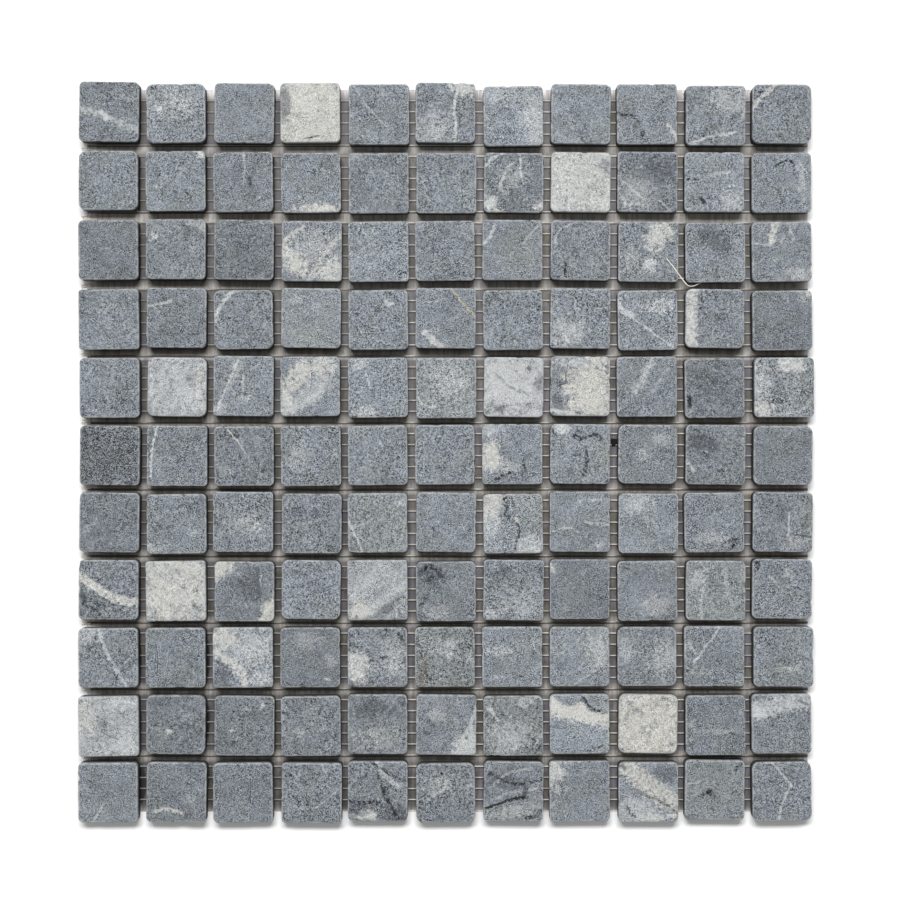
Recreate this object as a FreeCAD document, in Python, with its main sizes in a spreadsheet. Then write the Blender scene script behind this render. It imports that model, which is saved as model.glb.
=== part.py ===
import FreeCAD, Part
import math
import os
import Sketcher

# Mosaic sheet of tumbled stone chips glued to a fibre net, lying face up.
# Millimetres. +X runs along a row, +Y up the sheet towards row 1, +Z out of the face.
# The origin is the middle of the sheet, on the surface that the net lies on.

SIZES = {
    # chips
    "tile_width": 24.8,
    "tile_thickness": 8.0,
    "face_edge_wear": 0.9,
    "face_rim_wear": 0.5,
    "back_edge_wear": 0.5,
    "crisp_corner": 1.4,
    "worn_corner": 2.0,
    "round_corner": 2.9,
    "worn_loss": 0.2,
    "round_loss": 0.5,
    # how the chips are laid
    "columns": 11,
    "rows": 11,
    "column_joint": 2.9,
    "row_joint": 3.1,
    "least_joint": 1.9,
    "lay_turn": 0.8,
    "row_gather": 0.6,
    "row_sag": 0.9,
    # the net under them
    "strand_width": 0.6,
    "strand_thickness": 0.2,
    "strand_gap": 4.0,
    "net_inset_left": 2.2,
    "net_inset_right": 0.7,
    "net_inset_top": 1.2,
    "net_inset_bottom": 3.2,
}

# Lengths that several pieces share, as expressions of the sizes above.
SHEET_WIDTH = "(Sizes.columns * Sizes.tile_width + (Sizes.columns - 1) * Sizes.column_joint)"
SHEET_HEIGHT = "(Sizes.rows * Sizes.tile_width + (Sizes.rows - 1) * Sizes.row_joint)"
NET_WIDTH = f"({SHEET_WIDTH} - Sizes.net_inset_left - Sizes.net_inset_right)"
NET_HEIGHT = f"({SHEET_HEIGHT} - Sizes.net_inset_top - Sizes.net_inset_bottom)"
STRAND_PITCH = "(Sizes.strand_width + Sizes.strand_gap)"

# Share of a rounded corner's radius that is left outside its arc at the middle of the turn.
MITRE_SHARE = 1 - math.cos(math.radians(45))

# How worn a chip came out of the tumbler: its corners, how much smaller it is than the widest
# chips, and whether the rim of its face is rounded off as well as its edge.
WEAR = {
    "crisp": {"corner": "crisp_corner", "loss": "0", "rounded_rim": False},
    "worn": {"corner": "worn_corner", "loss": "Sizes.worn_loss", "rounded_rim": True},
    "round": {"corner": "round_corner", "loss": "Sizes.round_loss", "rounded_rim": True},
}

# The crispest and the roundest chips, as the columns where they lie in each row. Rows and
# columns count from 0 at the top left of the face. All other chips are worn.
CRISP_CHIPS = {
    0: (4, 8),
    1: (4, 5, 8),
    2: (3, 4, 6, 8),
    3: (0, 5, 7),
    4: (2, 5, 8),
    5: (1, 3, 6),
    6: (2, 7),
    7: (1, 4, 6),
    8: (2, 6, 9),
    9: (0, 5),
    10: (3, 7),
}
ROUND_CHIPS = {
    0: (1, 10),
    1: (0,),
    3: (2, 9),
    4: (1,),
    5: (8, 10),
    7: (3,),
    8: (8,),
    9: (1, 8),
    10: (5, 10),
}

# Chips that slid before the glue took: the share of the joint's slack that each moved by in X and Y.
SLIPPED_CHIPS = {
    (0, 6): (0.1, -0.7),
    (4, 10): (0.8, 0.0),
    (8, 10): (0.5, 0.1),
    (10, 0): (-0.4, 0.2),
}


def make_sheet(doc):
    """The driving dimensions, one to a row, each with its name beside it."""
    sheet = doc.addObject("Spreadsheet::Sheet", "Sizes")
    for row, (name, value) in enumerate(SIZES.items(), start=1):
        sheet.set(f"A{row}", name)
        sheet.set(f"B{row}", str(value))
        sheet.setAlias(f"B{row}", name)
    doc.recompute()
    return sheet


def new_body(doc, name):
    """An empty body that may hold solids that stand apart."""
    body = doc.addObject("PartDesign::Body", name)
    body.Label = name
    body.AllowCompound = True
    return body


def new_sketch(body, name):
    """An empty sketch on the body's own XY plane."""
    sketch = body.newObject("Sketcher::SketchObject", name)
    plane = next(item for item in body.Origin.OriginFeatures if item.Role == "XY_Plane")
    sketch.AttachmentSupport = [(plane, "")]
    sketch.MapMode = "FlatFace"
    return sketch


def draw_outline(sketch, corners):
    """A closed outline of straight edges whose corners follow pairs of expressions.

    The corners run anticlockwise. They start out round a circle, and the sizes pull them to their places.
    """
    count = len(corners)
    turns = [2 * math.pi * index / count for index in range(count)]
    points = [FreeCAD.Vector(math.cos(turn), math.sin(turn), 0) for turn in turns]
    for index, point in enumerate(points):
        sketch.addGeometry(Part.LineSegment(point, points[(index + 1) % count]), False)
    for index in range(count):
        sketch.addConstraint(Sketcher.Constraint("Coincident", index, 2, (index + 1) % count, 1))
    for index, (point, places) in enumerate(zip(points, corners)):
        for axis, start, place in zip("XY", point, places):
            number = sketch.addConstraint(Sketcher.Constraint(f"Distance{axis}", -1, 1, index, 1, start))
            name = f"corner_{index}_{axis.lower()}"
            sketch.renameConstraint(number, name)
            sketch.setExpression(f"Constraints.{name}", place)


def chip_corners(corner_size, loss):
    """The corners of a square chip, each worn into two flats that follow an arc.

    Every corner of the square gives three points: where the flats start, their middle and their end.
    """
    half = f"(Sizes.tile_width - {loss}) / 2"
    shoulder = f"({half} - Sizes.{corner_size})"
    mitre = f"({half} - {MITRE_SHARE} * Sizes.{corner_size})"
    quarter = [(half, shoulder), (mitre, mitre), (shoulder, half)]
    corners = []
    for x_sign, y_sign in ((1, 1), (-1, 1), (-1, -1), (1, -1)):
        ordered = quarter if x_sign == y_sign else quarter[::-1]
        corners += [(f"{x_sign} * {x}", f"{y_sign} * {y}") for x, y in ordered]
    return corners


def flat_face_at(shape, z):
    """The name of the level face at this height."""
    for index, face in enumerate(shape.Faces, start=1):
        box = face.BoundBox
        if box.ZLength < 1e-6 and abs(box.ZMin - z) < 1e-6:
            return f"Face{index}"
    raise ValueError(f"no level face at {z}")


def wear_edges(doc, body, base, name, z, size_name):
    """Wear down the edges round the level face at this height."""
    chamfer = body.newObject("PartDesign::Chamfer", name)
    chamfer.Base = (base, [flat_face_at(base.Shape, z)])
    chamfer.setExpression("Size", f"Sizes.{size_name}")
    doc.recompute()
    return chamfer


def make_chip(doc, name, corner, loss, rounded_rim):
    """One tumbled chip, centred on the origin with its back at Z 0."""
    body = new_body(doc, name)
    outline = new_sketch(body, f"{name}_outline")
    draw_outline(outline, chip_corners(corner, loss))
    block = body.newObject("PartDesign::Pad", f"{name}_block")
    block.Profile = outline
    block.setExpression("Length", "Sizes.tile_thickness")
    doc.recompute()
    top = SIZES["tile_thickness"]
    chip = wear_edges(doc, body, block, f"{name}_face_edge", top, "face_edge_wear")
    if rounded_rim:
        chip = wear_edges(doc, body, chip, f"{name}_face_rim", top, "face_rim_wear")
    chip = wear_edges(doc, body, chip, f"{name}_back_edge", 0.0, "back_edge_wear")
    body.Tip = chip
    doc.recompute()
    return body


def scatter(row, column, channel):
    """A fixed number between -1 and 1 for this chip, so that the lay looks made by hand."""
    return round(math.sin(5.3 * row + 3.7 * column + 2.1 * channel + 1.9 * row * column), 3)


def lay_offset(row, column, axis, joint):
    """How far a chip lies off its place along one axis, as an expression.

    Two neighbours that lean together and turn their corners to each other still leave the least joint,
    but for the little that the gather and sag of the rows take from it.
    """
    slack = f"(Sizes.{joint} - Sizes.least_joint)"
    if (row, column) in SLIPPED_CHIPS:
        return f"{SLIPPED_CHIPS[row, column][axis]} * {slack}"
    corner_swing = "Sizes.tile_width / 2 * sin(Sizes.lay_turn)"
    return f"{scatter(row, column, axis)} * ({slack} / 2 - {corner_swing})"


def chip_wear(row, column):
    """The name of the wear that the chip at this place has."""
    if column in CRISP_CHIPS.get(row, ()):
        return "crisp"
    if column in ROUND_CHIPS.get(row, ()):
        return "round"
    return "worn"


def lay_chip(doc, row, column, masters):
    """A copy of a master chip at its place in the grid, a little off and a little turned."""
    chip = doc.addObject("App::Link", f"chip_{row + 1:02d}_{column + 1:02d}")
    chip.LinkedObject = masters[chip_wear(row, column)]
    chip.LinkTransform = True
    # Columns to the right of the middle one, and rows above the middle one.
    right = f"({column} - (Sizes.columns - 1) / 2)"
    above = f"((Sizes.rows - 1) / 2 - {row})"
    x_place = f"{right} * (Sizes.tile_width + Sizes.column_joint)"
    y_place = f"{above} * (Sizes.tile_width + Sizes.row_joint)"
    # The rows draw together towards the right, and those in the middle sag towards the bottom.
    gather = f"4 * Sizes.row_gather * {right} * {above} / (Sizes.columns * Sizes.rows)"
    sag = f"Sizes.row_sag * (1 - 4 * {above} * {above} / ((Sizes.rows - 1) * (Sizes.rows - 1)))"
    x_off = lay_offset(row, column, 0, "column_joint")
    y_off = lay_offset(row, column, 1, "row_joint")
    # The copy starts out turned about Z, so that the angle set below acts about that axis.
    chip.Placement.Rotation = FreeCAD.Rotation(FreeCAD.Vector(0, 0, 1), 1)
    chip.setExpression("Placement.Base.x", f"{x_place} + {x_off}")
    chip.setExpression("Placement.Base.y", f"{y_place} - {gather} - {sag} + {y_off}")
    chip.setExpression("Placement.Base.z", "2 * Sizes.strand_thickness")
    chip.setExpression("Placement.Rotation.Angle", f"{scatter(row, column, 2)} * Sizes.lay_turn")
    return chip


def make_tile_row(doc, row, masters):
    """One row of chips, left to right, as solids that stand apart."""
    name = f"tile_row_{row + 1:02d}"
    chips = [lay_chip(doc, row, column, masters) for column in range(int(SIZES["columns"]))]
    compound = doc.addObject("Part::Compound", name)
    compound.Label = name
    compound.Links = chips
    return compound


def make_strands(doc, name, length, spread, step_axis, x_start, y_start, layer):
    """One layer of the net: a flat strand repeated across the net at the strand pitch.

    length is the strand's own length and spread the distance that the layer covers across it.
    step_axis is the axis that the strands are spaced along, and layer counts up from the floor.
    """
    body = new_body(doc, name)
    outline = new_sketch(body, f"{name}_outline")
    x_size, y_size = "Sizes.strand_width", length
    if step_axis == "Y":
        x_size, y_size = y_size, x_size
    x_end = f"{x_start} + {x_size}"
    y_end = f"{y_start} + {y_size}"
    corners = [(x_start, y_start), (x_end, y_start), (x_end, y_end), (x_start, y_end)]
    draw_outline(outline, corners)
    strand = body.newObject("PartDesign::Pad", f"{name}_strand")
    strand.Profile = outline
    strand.setExpression("Length", "Sizes.strand_thickness")
    doc.recompute()
    pattern = body.newObject("PartDesign::LinearPattern", f"{name}_pattern")
    pattern.Originals = [strand]
    pattern.Direction = (outline, ["H_Axis" if step_axis == "X" else "V_Axis"])
    gaps = f"floor(({spread} - Sizes.strand_width) / {STRAND_PITCH})"
    pattern.setExpression("Occurrences", f"{gaps} + 1")
    pattern.setExpression("Length", f"{gaps} * {STRAND_PITCH}")
    body.Tip = pattern
    body.setExpression("Placement.Base.z", f"{layer} * Sizes.strand_thickness")
    return body


def make_net(doc):
    """The net's two layers: strands up the sheet on the floor, strands across it on top of them."""
    left = f"(Sizes.net_inset_left - {SHEET_WIDTH} / 2)"
    bottom = f"(Sizes.net_inset_bottom - {SHEET_HEIGHT} / 2)"
    warp = make_strands(doc, "mesh_warp", NET_HEIGHT, NET_WIDTH, "X", left, bottom, 0)
    weft = make_strands(doc, "mesh_weft", NET_WIDTH, NET_HEIGHT, "Y", left, bottom, 1)
    return [warp, weft]


def check(doc, pieces):
    """Stop before anything is written if a step failed or a piece isn't sound."""
    for item in doc.Objects:
        if "Invalid" in item.State or "Error" in item.State:
            raise RuntimeError(f"{item.Name} failed: {item.State}")
    for piece in pieces:
        if piece.Shape.isNull() or not piece.Shape.isValid():
            raise RuntimeError(f"{piece.Label} has no sound shape")


def main():
    doc = FreeCAD.newDocument("mosaic_sheet")
    make_sheet(doc)
    masters = {name: make_chip(doc, f"chip_{name}", **wear) for name, wear in WEAR.items()}
    pieces = make_net(doc)
    pieces += [make_tile_row(doc, row, masters) for row in range(int(SIZES["rows"]))]
    doc.recompute()
    check(doc, pieces)
    os.makedirs("parts", exist_ok=True)
    for piece in pieces:
        piece.Shape.exportStep(f"parts/{piece.Label}.step")
        print(piece.Label, len(piece.Shape.Solids), "solids", round(piece.Shape.Volume, 1), "mm3")


main()
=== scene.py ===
import math
import random
from functools import partial

import bmesh
import bpy
import numpy as np
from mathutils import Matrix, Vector, noise


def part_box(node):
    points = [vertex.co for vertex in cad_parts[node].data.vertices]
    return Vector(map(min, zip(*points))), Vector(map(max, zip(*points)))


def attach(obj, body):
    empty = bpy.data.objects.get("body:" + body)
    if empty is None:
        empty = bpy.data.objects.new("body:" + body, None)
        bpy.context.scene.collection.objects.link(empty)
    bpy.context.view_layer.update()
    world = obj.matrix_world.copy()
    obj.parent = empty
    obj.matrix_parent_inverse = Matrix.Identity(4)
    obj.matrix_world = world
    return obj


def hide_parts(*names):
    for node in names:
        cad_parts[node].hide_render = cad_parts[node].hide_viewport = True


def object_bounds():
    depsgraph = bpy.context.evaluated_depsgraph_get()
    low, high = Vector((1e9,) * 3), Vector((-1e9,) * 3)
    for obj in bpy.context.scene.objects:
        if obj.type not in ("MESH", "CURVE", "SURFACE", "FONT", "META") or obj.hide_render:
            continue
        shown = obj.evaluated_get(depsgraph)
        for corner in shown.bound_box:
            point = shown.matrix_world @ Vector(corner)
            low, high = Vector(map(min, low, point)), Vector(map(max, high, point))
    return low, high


# The looks of a mosaic sheet: tumbled stone chips on a fibre net, with the glue that holds them.
# Lengths are in millimetres until a mesh is made, in the frame's own axes: +X along a row,
# +Y up the sheet towards the first row, +Z out of the stone face. Rows and columns count
# from 0 at the top left.

MM = 0.001
# Rows of chips, and chips in each row.
COUNT = 11
RANDOM_SEED = 64

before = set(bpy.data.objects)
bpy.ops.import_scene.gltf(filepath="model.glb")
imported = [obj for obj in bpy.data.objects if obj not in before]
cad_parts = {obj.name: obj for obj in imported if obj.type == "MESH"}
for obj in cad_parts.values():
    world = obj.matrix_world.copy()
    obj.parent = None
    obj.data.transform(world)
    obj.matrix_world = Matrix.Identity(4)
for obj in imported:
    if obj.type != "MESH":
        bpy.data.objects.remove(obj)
cad_low, cad_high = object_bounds()


# Chips and strands as the frame holds them

# The turns that are tried to find how a chip lies, and how close to its side a point counts as on it.
LAY_TURNS = np.radians(np.linspace(-1.2, 1.2, 97))
ON_SIDE = 0.02


def row_node(row):
    """The name of the CAD node that holds a row of chips."""
    return f"tile_row_{row + 1:02d}"


def islands(name, axis):
    """The separate solids of a CAD node, each as its corner points, in order along an axis."""
    mesh = bmesh.new()
    mesh.from_mesh(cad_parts[name].data)
    bmesh.ops.remove_doubles(mesh, verts=mesh.verts, dist=1e-6)
    left = set(mesh.verts)
    found = []
    for start in mesh.verts:
        if start not in left:
            continue
        left.discard(start)
        reached, island = [start], []
        while reached:
            corner = reached.pop()
            island.append(corner.co[:])
            for edge in corner.link_edges:
                other = edge.other_vert(corner)
                if other in left:
                    left.discard(other)
                    reached.append(other)
        found.append(np.array(island) / MM)
    mesh.free()
    return sorted(found, key=lambda points: points[:, axis].mean())


def turned(points, turn):
    """Points turned about Z by an angle in radians."""
    cosine, sine = math.cos(turn), math.sin(turn)
    x = points[..., 0] * cosine - points[..., 1] * sine
    y = points[..., 0] * sine + points[..., 1] * cosine
    return np.stack([x, y], axis=-1)


def lay_of(points):
    """How a chip lies: its middle, turn, half width, corner size, and lowest and highest point."""
    turn = min(LAY_TURNS, key=lambda angle: np.ptp(turned(points, -angle), axis=0).sum())
    own = turned(points, -turn)
    middle = (own.min(axis=0) + own.max(axis=0)) / 2
    own = own - middle
    half = own.max(axis=0).mean()
    on_side = own[own[:, 0] > own[:, 0].max() - ON_SIDE]
    return {
        "middle": turned(middle, turn),
        "turn": turn,
        "half": half,
        "corner": half - on_side[:, 1].max(),
        "low": points[:, 2].min(),
        "high": points[:, 2].max(),
    }


def joint_middles(axis):
    """The middles of the joints between columns (axis 0) or rows (axis 1), the lowest first."""
    middles = np.array([[lay["middle"][axis] for lay in row] for row in chip_lays])
    lines = middles.mean(axis=0) if axis == 0 else np.sort(middles.mean(axis=1))
    return (lines[1:] + lines[:-1]) / 2


chip_lays = [[lay_of(solid) for solid in islands(row_node(row), 0)] for row in range(COUNT)]
column_joints = joint_middles(0)
row_joints = joint_middles(1)


# What shows on each stone

# How warm a pale patch is, where nothing else is said.
USUAL_WARMTH = 0.3


def vein(points, width=0.8, strength=0.6, warmth=0.2):
    """A pale vein through points in hundredths of the chip from its top left. Its width is in mm."""
    return {"kind": "vein", "points": points, "width": width, "strength": strength, "warm_or_solid": warmth}


def crack(points, width=0.9, strength=1.0, solid=0.0):
    """A dark crack through points, as a vein's. At solid 1 it is unbroken, at 0 a trail of specks."""
    return {"kind": "crack", "points": points, "width": width, "strength": strength, "warm_or_solid": solid}


def patch(tone, middle, reach, strength=1.0, turn=0, warmth=USUAL_WARMTH):
    """An oval patch: its middle and half lengths in hundredths of the chip, and its turn in degrees."""
    return {"kind": "patch", "tone": tone, "middle": np.array(middle) / 100, "reach": np.array(reach) / 100,
            "strength": strength, "turn": turn, "warmth": warmth}


PATCH_TONES = ["pale", "light", "dark", "green", "brown"]
pale, light, dark, green, brown = (partial(patch, tone) for tone in PATCH_TONES)

# The marks of each chip, by row and column. The rest of the chips are plain.
FEATURES = {
    (0, 0): [vein([(-10, 43), (40, 57), (110, 87)], 2.4, 0.55), vein([(38, 50), (46, 62)], 1.6, 0.9),
        crack([(42, -2), (50, 2)], 1.2, 0.9)],
    (0, 1): [pale((20, 42), (7, 6)), light((50, 30), (50, 40), 0.6)],
    (0, 3): [pale((50, 50), (130, 130), warmth=0.75), dark((2, 35), (20, 40)),
        vein([(30, 20), (50, 50), (80, 70)], 4.0, warmth=0.5), crack([(42, 93), (62, 90)], 0.8, 0.9)],
    (0, 4): [vein([(10, 3), (30, 35), (65, 75)], strength=0.45)],
    (0, 5): [pale((80, 8), (30, 16), 0.8, warmth=0.5), light((30, 75), (35, 25)),
        vein([(70, 12), (64, 45), (68, 70), (66, 98)], 0.95, 0.9, 0.4),
        vein([(30, 80), (36, 100)], strength=0.5), crack([(72, 35), (74, 75)], strength=0.6),
        green((78, 50), (8, 35))],
    (0, 6): [light((85, 60), (25, 50), 0.8, warmth=0.7), light((30, 20), (30, 15), 0.6)],
    (0, 8): [crack([(4, 48), (12, 52), (24, 52), (36, 64)], 1.0), crack([(30, 68), (30, 78)], 1.0, 0.9),
        crack([(43, 80), (41, 90)], 1.7), vein([(85, 68), (102, 95)], 1.4, 0.8, 0.6),
        crack([(2, 95), (8, 100)], 1.2, 0.9)],
    (0, 9): [light((75, 25), (35, 25)), vein([(8, 98), (45, 85), (82, 78)], 1.2, 0.8),
        pale((93, 50), (7, 6), warmth=0.6)],
    (0, 10): [vein([(-2, 42), (20, 18), (42, -5)], 1.8, 0.8, 0.4)],
    (1, 1): [pale((15, 60), (7, 5)), pale((97, 2), (12, 10)), crack([(66, 66), (74, 74)], 0.8, 0.9)],
    (1, 2): [vein([(52, 3), (53, 25), (51, 50)], 0.5, 0.75, 0.0), pale((52, 5), (5, 5)),
        crack([(60, 45), (62, 55)], 1.4, 0.8, 1.0), pale((74, 78), (8, 5))],
    (1, 3): [pale((60, 97), (42, 14), warmth=0.7)],
    (1, 6): [vein([(3, 22), (12, 10), (30, 2)], 1.1, 0.8), vein([(28, 55), (36, 30), (50, 18)], 1.3),
        vein([(60, 5), (62, 30), (66, 50)], 0.9, 0.7), pale((10, 85), (14, 16)),
        pale((22, 97), (12, 6), warmth=0.7), pale((92, 90), (16, 10), 0.7, warmth=0.4),
        light((45, 45), (30, 20), 0.6, -30)],
    (1, 7): [pale((50, 50), (130, 130), warmth=0.45), dark((90, 20), (20, 18), 0.6)],
    (1, 8): [dark((75, 25), (35, 30)), light((30, 70), (35, 30)), vein([(10, 50), (40, 75)], 0.9, 0.5),
        pale((15, 85), (16, 16), 0.5), pale((38, 25), (5, 6), 0.8), pale((86, 60), (6, 7), 0.8),
        vein([(72, 82), (88, 97)], 0.9)],
    (1, 9): [vein([(45, 38), (78, 32)], 1.4), light((80, 80), (30, 25), 0.7),
        crack([(4, 46), (12, 44), (22, 46)]), crack([(28, 78), (33, 84)], 1.3, solid=1.0)],
    (1, 10): [crack([(42, 20), (55, 15), (68, 16), (70, 34)], 1.1), light((85, 50), (8, 45)),
        crack([(30, 55), (42, 62), (50, 80)], 0.7, 0.7)],
    (2, 1): [pale((10, 30), (8, 8)), light((85, 10), (20, 12))],
    (2, 3): [pale((20, 65), (40, 20), 0.8, 45, 0.7), pale((85, 85), (30, 25), warmth=0.5),
        vein([(0, 35), (35, 10)], 1.6, 0.8, 0.6), light((60, 40), (35, 30)),
        vein([(45, 100), (75, 50), (100, 20)], 1.6, warmth=0.7), crack([(68, 10), (74, 35)], strength=0.9)],
    (2, 6): [vein([(-2, 42), (12, 30), (20, 10)], 1.2, 0.8), green((60, 50), (35, 40)),
        vein([(70, 35), (92, 10)], 0.7, 0.5), pale((30, 68), (5, 5))],
    (2, 7): [vein([(5, 40), (15, 15), (40, 5)], 1.0, 0.5), crack([(25, 72), (25, 95)], 1.1),
        green((30, 95), (30, 8))],
    (2, 8): [pale((66, 24), (32, 20), turn=-35, warmth=0.5), pale((52, 73), (13, 14), warmth=0.1),
        light((20, 60), (15, 20))],
    (2, 9): [crack([(55, 20), (70, 10)], 1.2, 0.6), crack([(20, 50), (45, 35)], strength=0.5),
        dark((50, 30), (40, 20), turn=30)],
    (2, 10): [vein([(42, -2), (36, 16), (32, 34)], 2.4, 0.9, 0.7), light((75, 88), (22, 14)),
        vein([(60, 0), (70, 30)]), vein([(0, 35), (30, 40)])],
    (3, 0): [crack([(25, 30), (32, 55), (50, 80)], 0.6, 0.45)],
    (3, 1): [vein([(-2, 32), (20, 28), (42, 20)], 1.0, 0.8)],
    (3, 2): [vein([(34, 0), (22, 15), (10, 30), (2, 52)], 1.3, 0.85)],
    (3, 3): [light((25, 20), (10, 10)), light((60, 30), (12, 8)), green((50, 80), (40, 20))],
    (3, 4): [pale((65, 25), (12, 8))],
    (3, 5): [vein([(55, -5), (74, 20), (90, 36), (102, 50)], strength=0.7, warmth=1.1),
        vein([(15, 72), (28, 86), (45, 100)], 2.6, 0.85, 0.5), vein([(15, 25), (50, 18)], strength=0.5)],
    (3, 6): [dark((20, 10), (10, 8))],
    (3, 7): [light((30, 75), (35, 25)), vein([(3, 40), (18, 62), (32, 95)], 1.0, 0.45)],
    (3, 8): [vein([(-3, 15), (8, 33), (24, 42)], 2.1, 0.95, 0.25),
        vein([(20, 42), (55, 68), (95, 98)], strength=0.75), light((72, 28), (22, 16)),
        light((40, 28), (10, 8))],
    (3, 9): [vein([(10, -10), (8, 50), (10, 110)], 5.0, 1.0, 0.5), crack([(27, 10), (27, 25)], 0.8, 0.9),
        pale((30, 3), (3, 3))],
    (3, 10): [light((90, 8), (20, 16)), pale((97, 4), (10, 10))],
    (4, 1): [light((50, 50), (120, 120)), pale((50, 50), (95, 95), 0.55, warmth=0.15),
        dark((40, 60), (30, 20), 0.4, -40), vein([(90, 15), (85, 60), (95, 90)], 1.6, 0.5, 0.8),
        dark((75, 35), (20, 15), 0.4)],
    (4, 2): [vein([(42, 5), (25, 45), (8, 88)], 0.9, 0.7), vein([(50, 33), (50, 57)], 1.1),
        vein([(60, 25), (78, 10)], strength=0.5), light((12, 88), (14, 10)), light((56, 70), (12, 8)),
        light((35, 30), (10, 30), turn=25)],
    (4, 3): [pale((30, 30), (42, 20), 0.85, -45, 0.7), pale((70, 15), (25, 20), warmth=0.5),
        pale((10, 75), (14, 30), 0.8, warmth=0.5), light((50, 60), (50, 20), turn=-35),
        vein([(20, 90), (55, 70), (80, 40)], 2.2, 0.45, 0.4), crack([(20, 35), (28, 42)], 0.8, 0.8)],
    (4, 4): [vein([(30, 25), (38, 48)], 0.7, 0.75), vein([(8, 90), (30, 95)], 1.0),
        light((22, 12), (14, 10)), light((25, 90), (20, 12))],
    (4, 5): [vein([(3, 68), (15, 78), (32, 82)], 0.9, 0.7), green((55, 50), (75, 75)),
        light((55, 42), (40, 35), 0.7)],
    (4, 6): [pale((50, 50), (110, 110), warmth=0.25), vein([(10, 35), (40, 45), (95, 60)], 3.0, 0.5),
        dark((25, 85), (30, 10), 0.7, 15), dark((93, 45), (12, 20)),
        crack([(20, 30), (45, 50), (80, 62)], 1.3, 0.45), crack([(50, 20), (65, 35)], strength=0.4),
        crack([(20, 90), (45, 80), (75, 78)], 1.2, 0.5)],
    (4, 7): [pale((68, 55), (50, 75), warmth=0.75),
        crack([(26, 30), (26, 42), (14, 50)], strength=0.9, solid=0.7),
        pale((45, 12), (40, 14), 0.8, warmth=0.1), dark((12, 75), (12, 18), turn=-20),
        vein([(0, 90), (40, 97)], 1.6, 0.8, 0.4), crack([(70, 20), (95, 25)], 0.7, 0.3)],
    (4, 8): [vein([(63, -2), (50, 22), (35, 52), (25, 70)], 1.3, 0.45),
        vein([(85, 20), (60, 60)], 1.3, 0.25), light((45, 30), (10, 35), 0.8, 30)],
    (4, 9): [crack([(6, 64), (7, 80)], 1.9, solid=1.0), dark((60, 50), (80, 60), 0.5)],
    (4, 10): [pale((60, 14), (28, 20), 0.9, warmth=0.4), light((12, 50), (18, 50)),
        pale((16, 85), (20, 14), warmth=0.5), vein([(40, 95), (75, 90), (97, 70)], 1.0, 0.5),
        crack([(36, 42), (50, 33), (64, 22)], 1.0, 0.7), green((85, 50), (15, 40))],
    (5, 1): [vein([(19, -3), (12, 25), (8, 50), (7, 85)], 0.75, 0.9)],
    (5, 2): [vein([(24, 6), (34, 18), (48, 38)], 0.7, 0.9, 0.8),
        vein([(50, 40), (60, 60), (50, 90)], 0.5, 0.35), crack([(10, 34), (20, 27), (32, 27)], 0.6, 0.5),
        light((18, 75), (12, 10))],
    (5, 3): [light((30, 45), (20, 30), 0.8, 20)],
    (5, 6): [pale((14, 55), (20, 30), warmth=0.6), crack([(78, 52), (68, 62), (72, 74)], 1.3, 0.9),
        crack([(20, 95), (30, 87), (48, 80)], 1.6), light((15, 10), (20, 10)),
        crack([(50, 20), (65, 45)], 0.7, 0.4), light((45, 70), (20, 12))],
    (5, 7): [pale((20, 8), (17, 10), warmth=0.2), crack([(38, 20), (55, 24), (75, 16), (84, 24)], 1.5),
        crack([(58, 40), (62, 60), (55, 85)], 1.6, 0.85), green((88, 55), (16, 35)),
        crack([(4, 10), (8, 16)], 1.0)],
    (5, 8): [light((70, 25), (16, 10)), light((40, 50), (15, 15))],
    (5, 9): [vein([(4, 63), (13, 76)], 1.3, 0.7), crack([(8, 5), (20, 12)], 1.2, 0.7),
        dark((30, 30), (30, 15), turn=20), green((65, 35), (15, 12))],
    (6, 1): [light((10, 90), (15, 10))],
    (6, 2): [crack([(0, 40), (2, 50)], 1.6, 0.9, 0.6), light((55, 55), (35, 20), 0.7)],
    (6, 4): [green((55, 60), (60, 60)), vein([(2, 48), (12, 70), (24, 97)], strength=0.8, warmth=0.6),
        pale((88, 13), (16, 8), warmth=0.4), vein([(10, 55), (30, 50), (42, 42)], 0.9, 0.45)],
    (6, 6): [pale((12, 12), (27, 24), turn=-30, warmth=0.8), pale((80, 93), (14, 6), turn=15),
        crack([(36, 2), (40, 25), (33, 40)], 1.5), crack([(42, 38), (60, 60), (48, 100)], 1.5, 0.9),
        pale((53, 50), (7, 22), warmth=0.6), green((85, 40), (20, 40)),
        crack([(50, 8), (52, 30)], 1.1, 0.6), light((15, 50), (20, 30)), light((75, 85), (30, 20))],
    (6, 7): [vein([(50, 14), (90, 13)]), vein([(5, 66), (30, 60), (45, 66)], strength=0.7),
        vein([(60, 50), (98, 55)], 1.2, 0.5), light((80, 88), (16, 8))],
    (6, 8): [light((30, 20), (30, 20), 0.7)],
    (6, 9): [crack([(74, 95), (84, 86)], 1.3), crack([(74, 82), (90, 78)], strength=0.9),
        crack([(78, 90), (92, 84)], 0.7, 0.8), light((40, 75), (30, 14), 0.8)],
    (6, 10): [vein([(60, 35), (60, 60), (57, 75)], 0.7, 0.7),
        crack([(68, 70), (98, 74)], strength=0.9, solid=0.6), green((90, 40), (14, 45)),
        light((75, 80), (20, 14)), dark((50, 35), (20, 25), 0.6)],
    (7, 0): [vein([(-5, 22), (18, 38), (45, 56), (70, 66), (105, 72)], 3.2, 1.0, 0.6),
        crack([(6, 58), (12, 66), (7, 74)], 1.8, solid=0.6), crack([(14, 78), (30, 84)], 1.4, 0.8),
        crack([(36, 62), (55, 72)], 0.8, 0.6), dark((30, 80), (30, 15), 0.6)],
    (7, 1): [pale((50, 50), (100, 100), 0.85, warmth=0.6), dark((42, 12), (14, 8), 0.4),
        dark((85, 78), (14, 10), 0.5), crack([(80, 70), (86, 82)], 1.2, 0.7),
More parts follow.
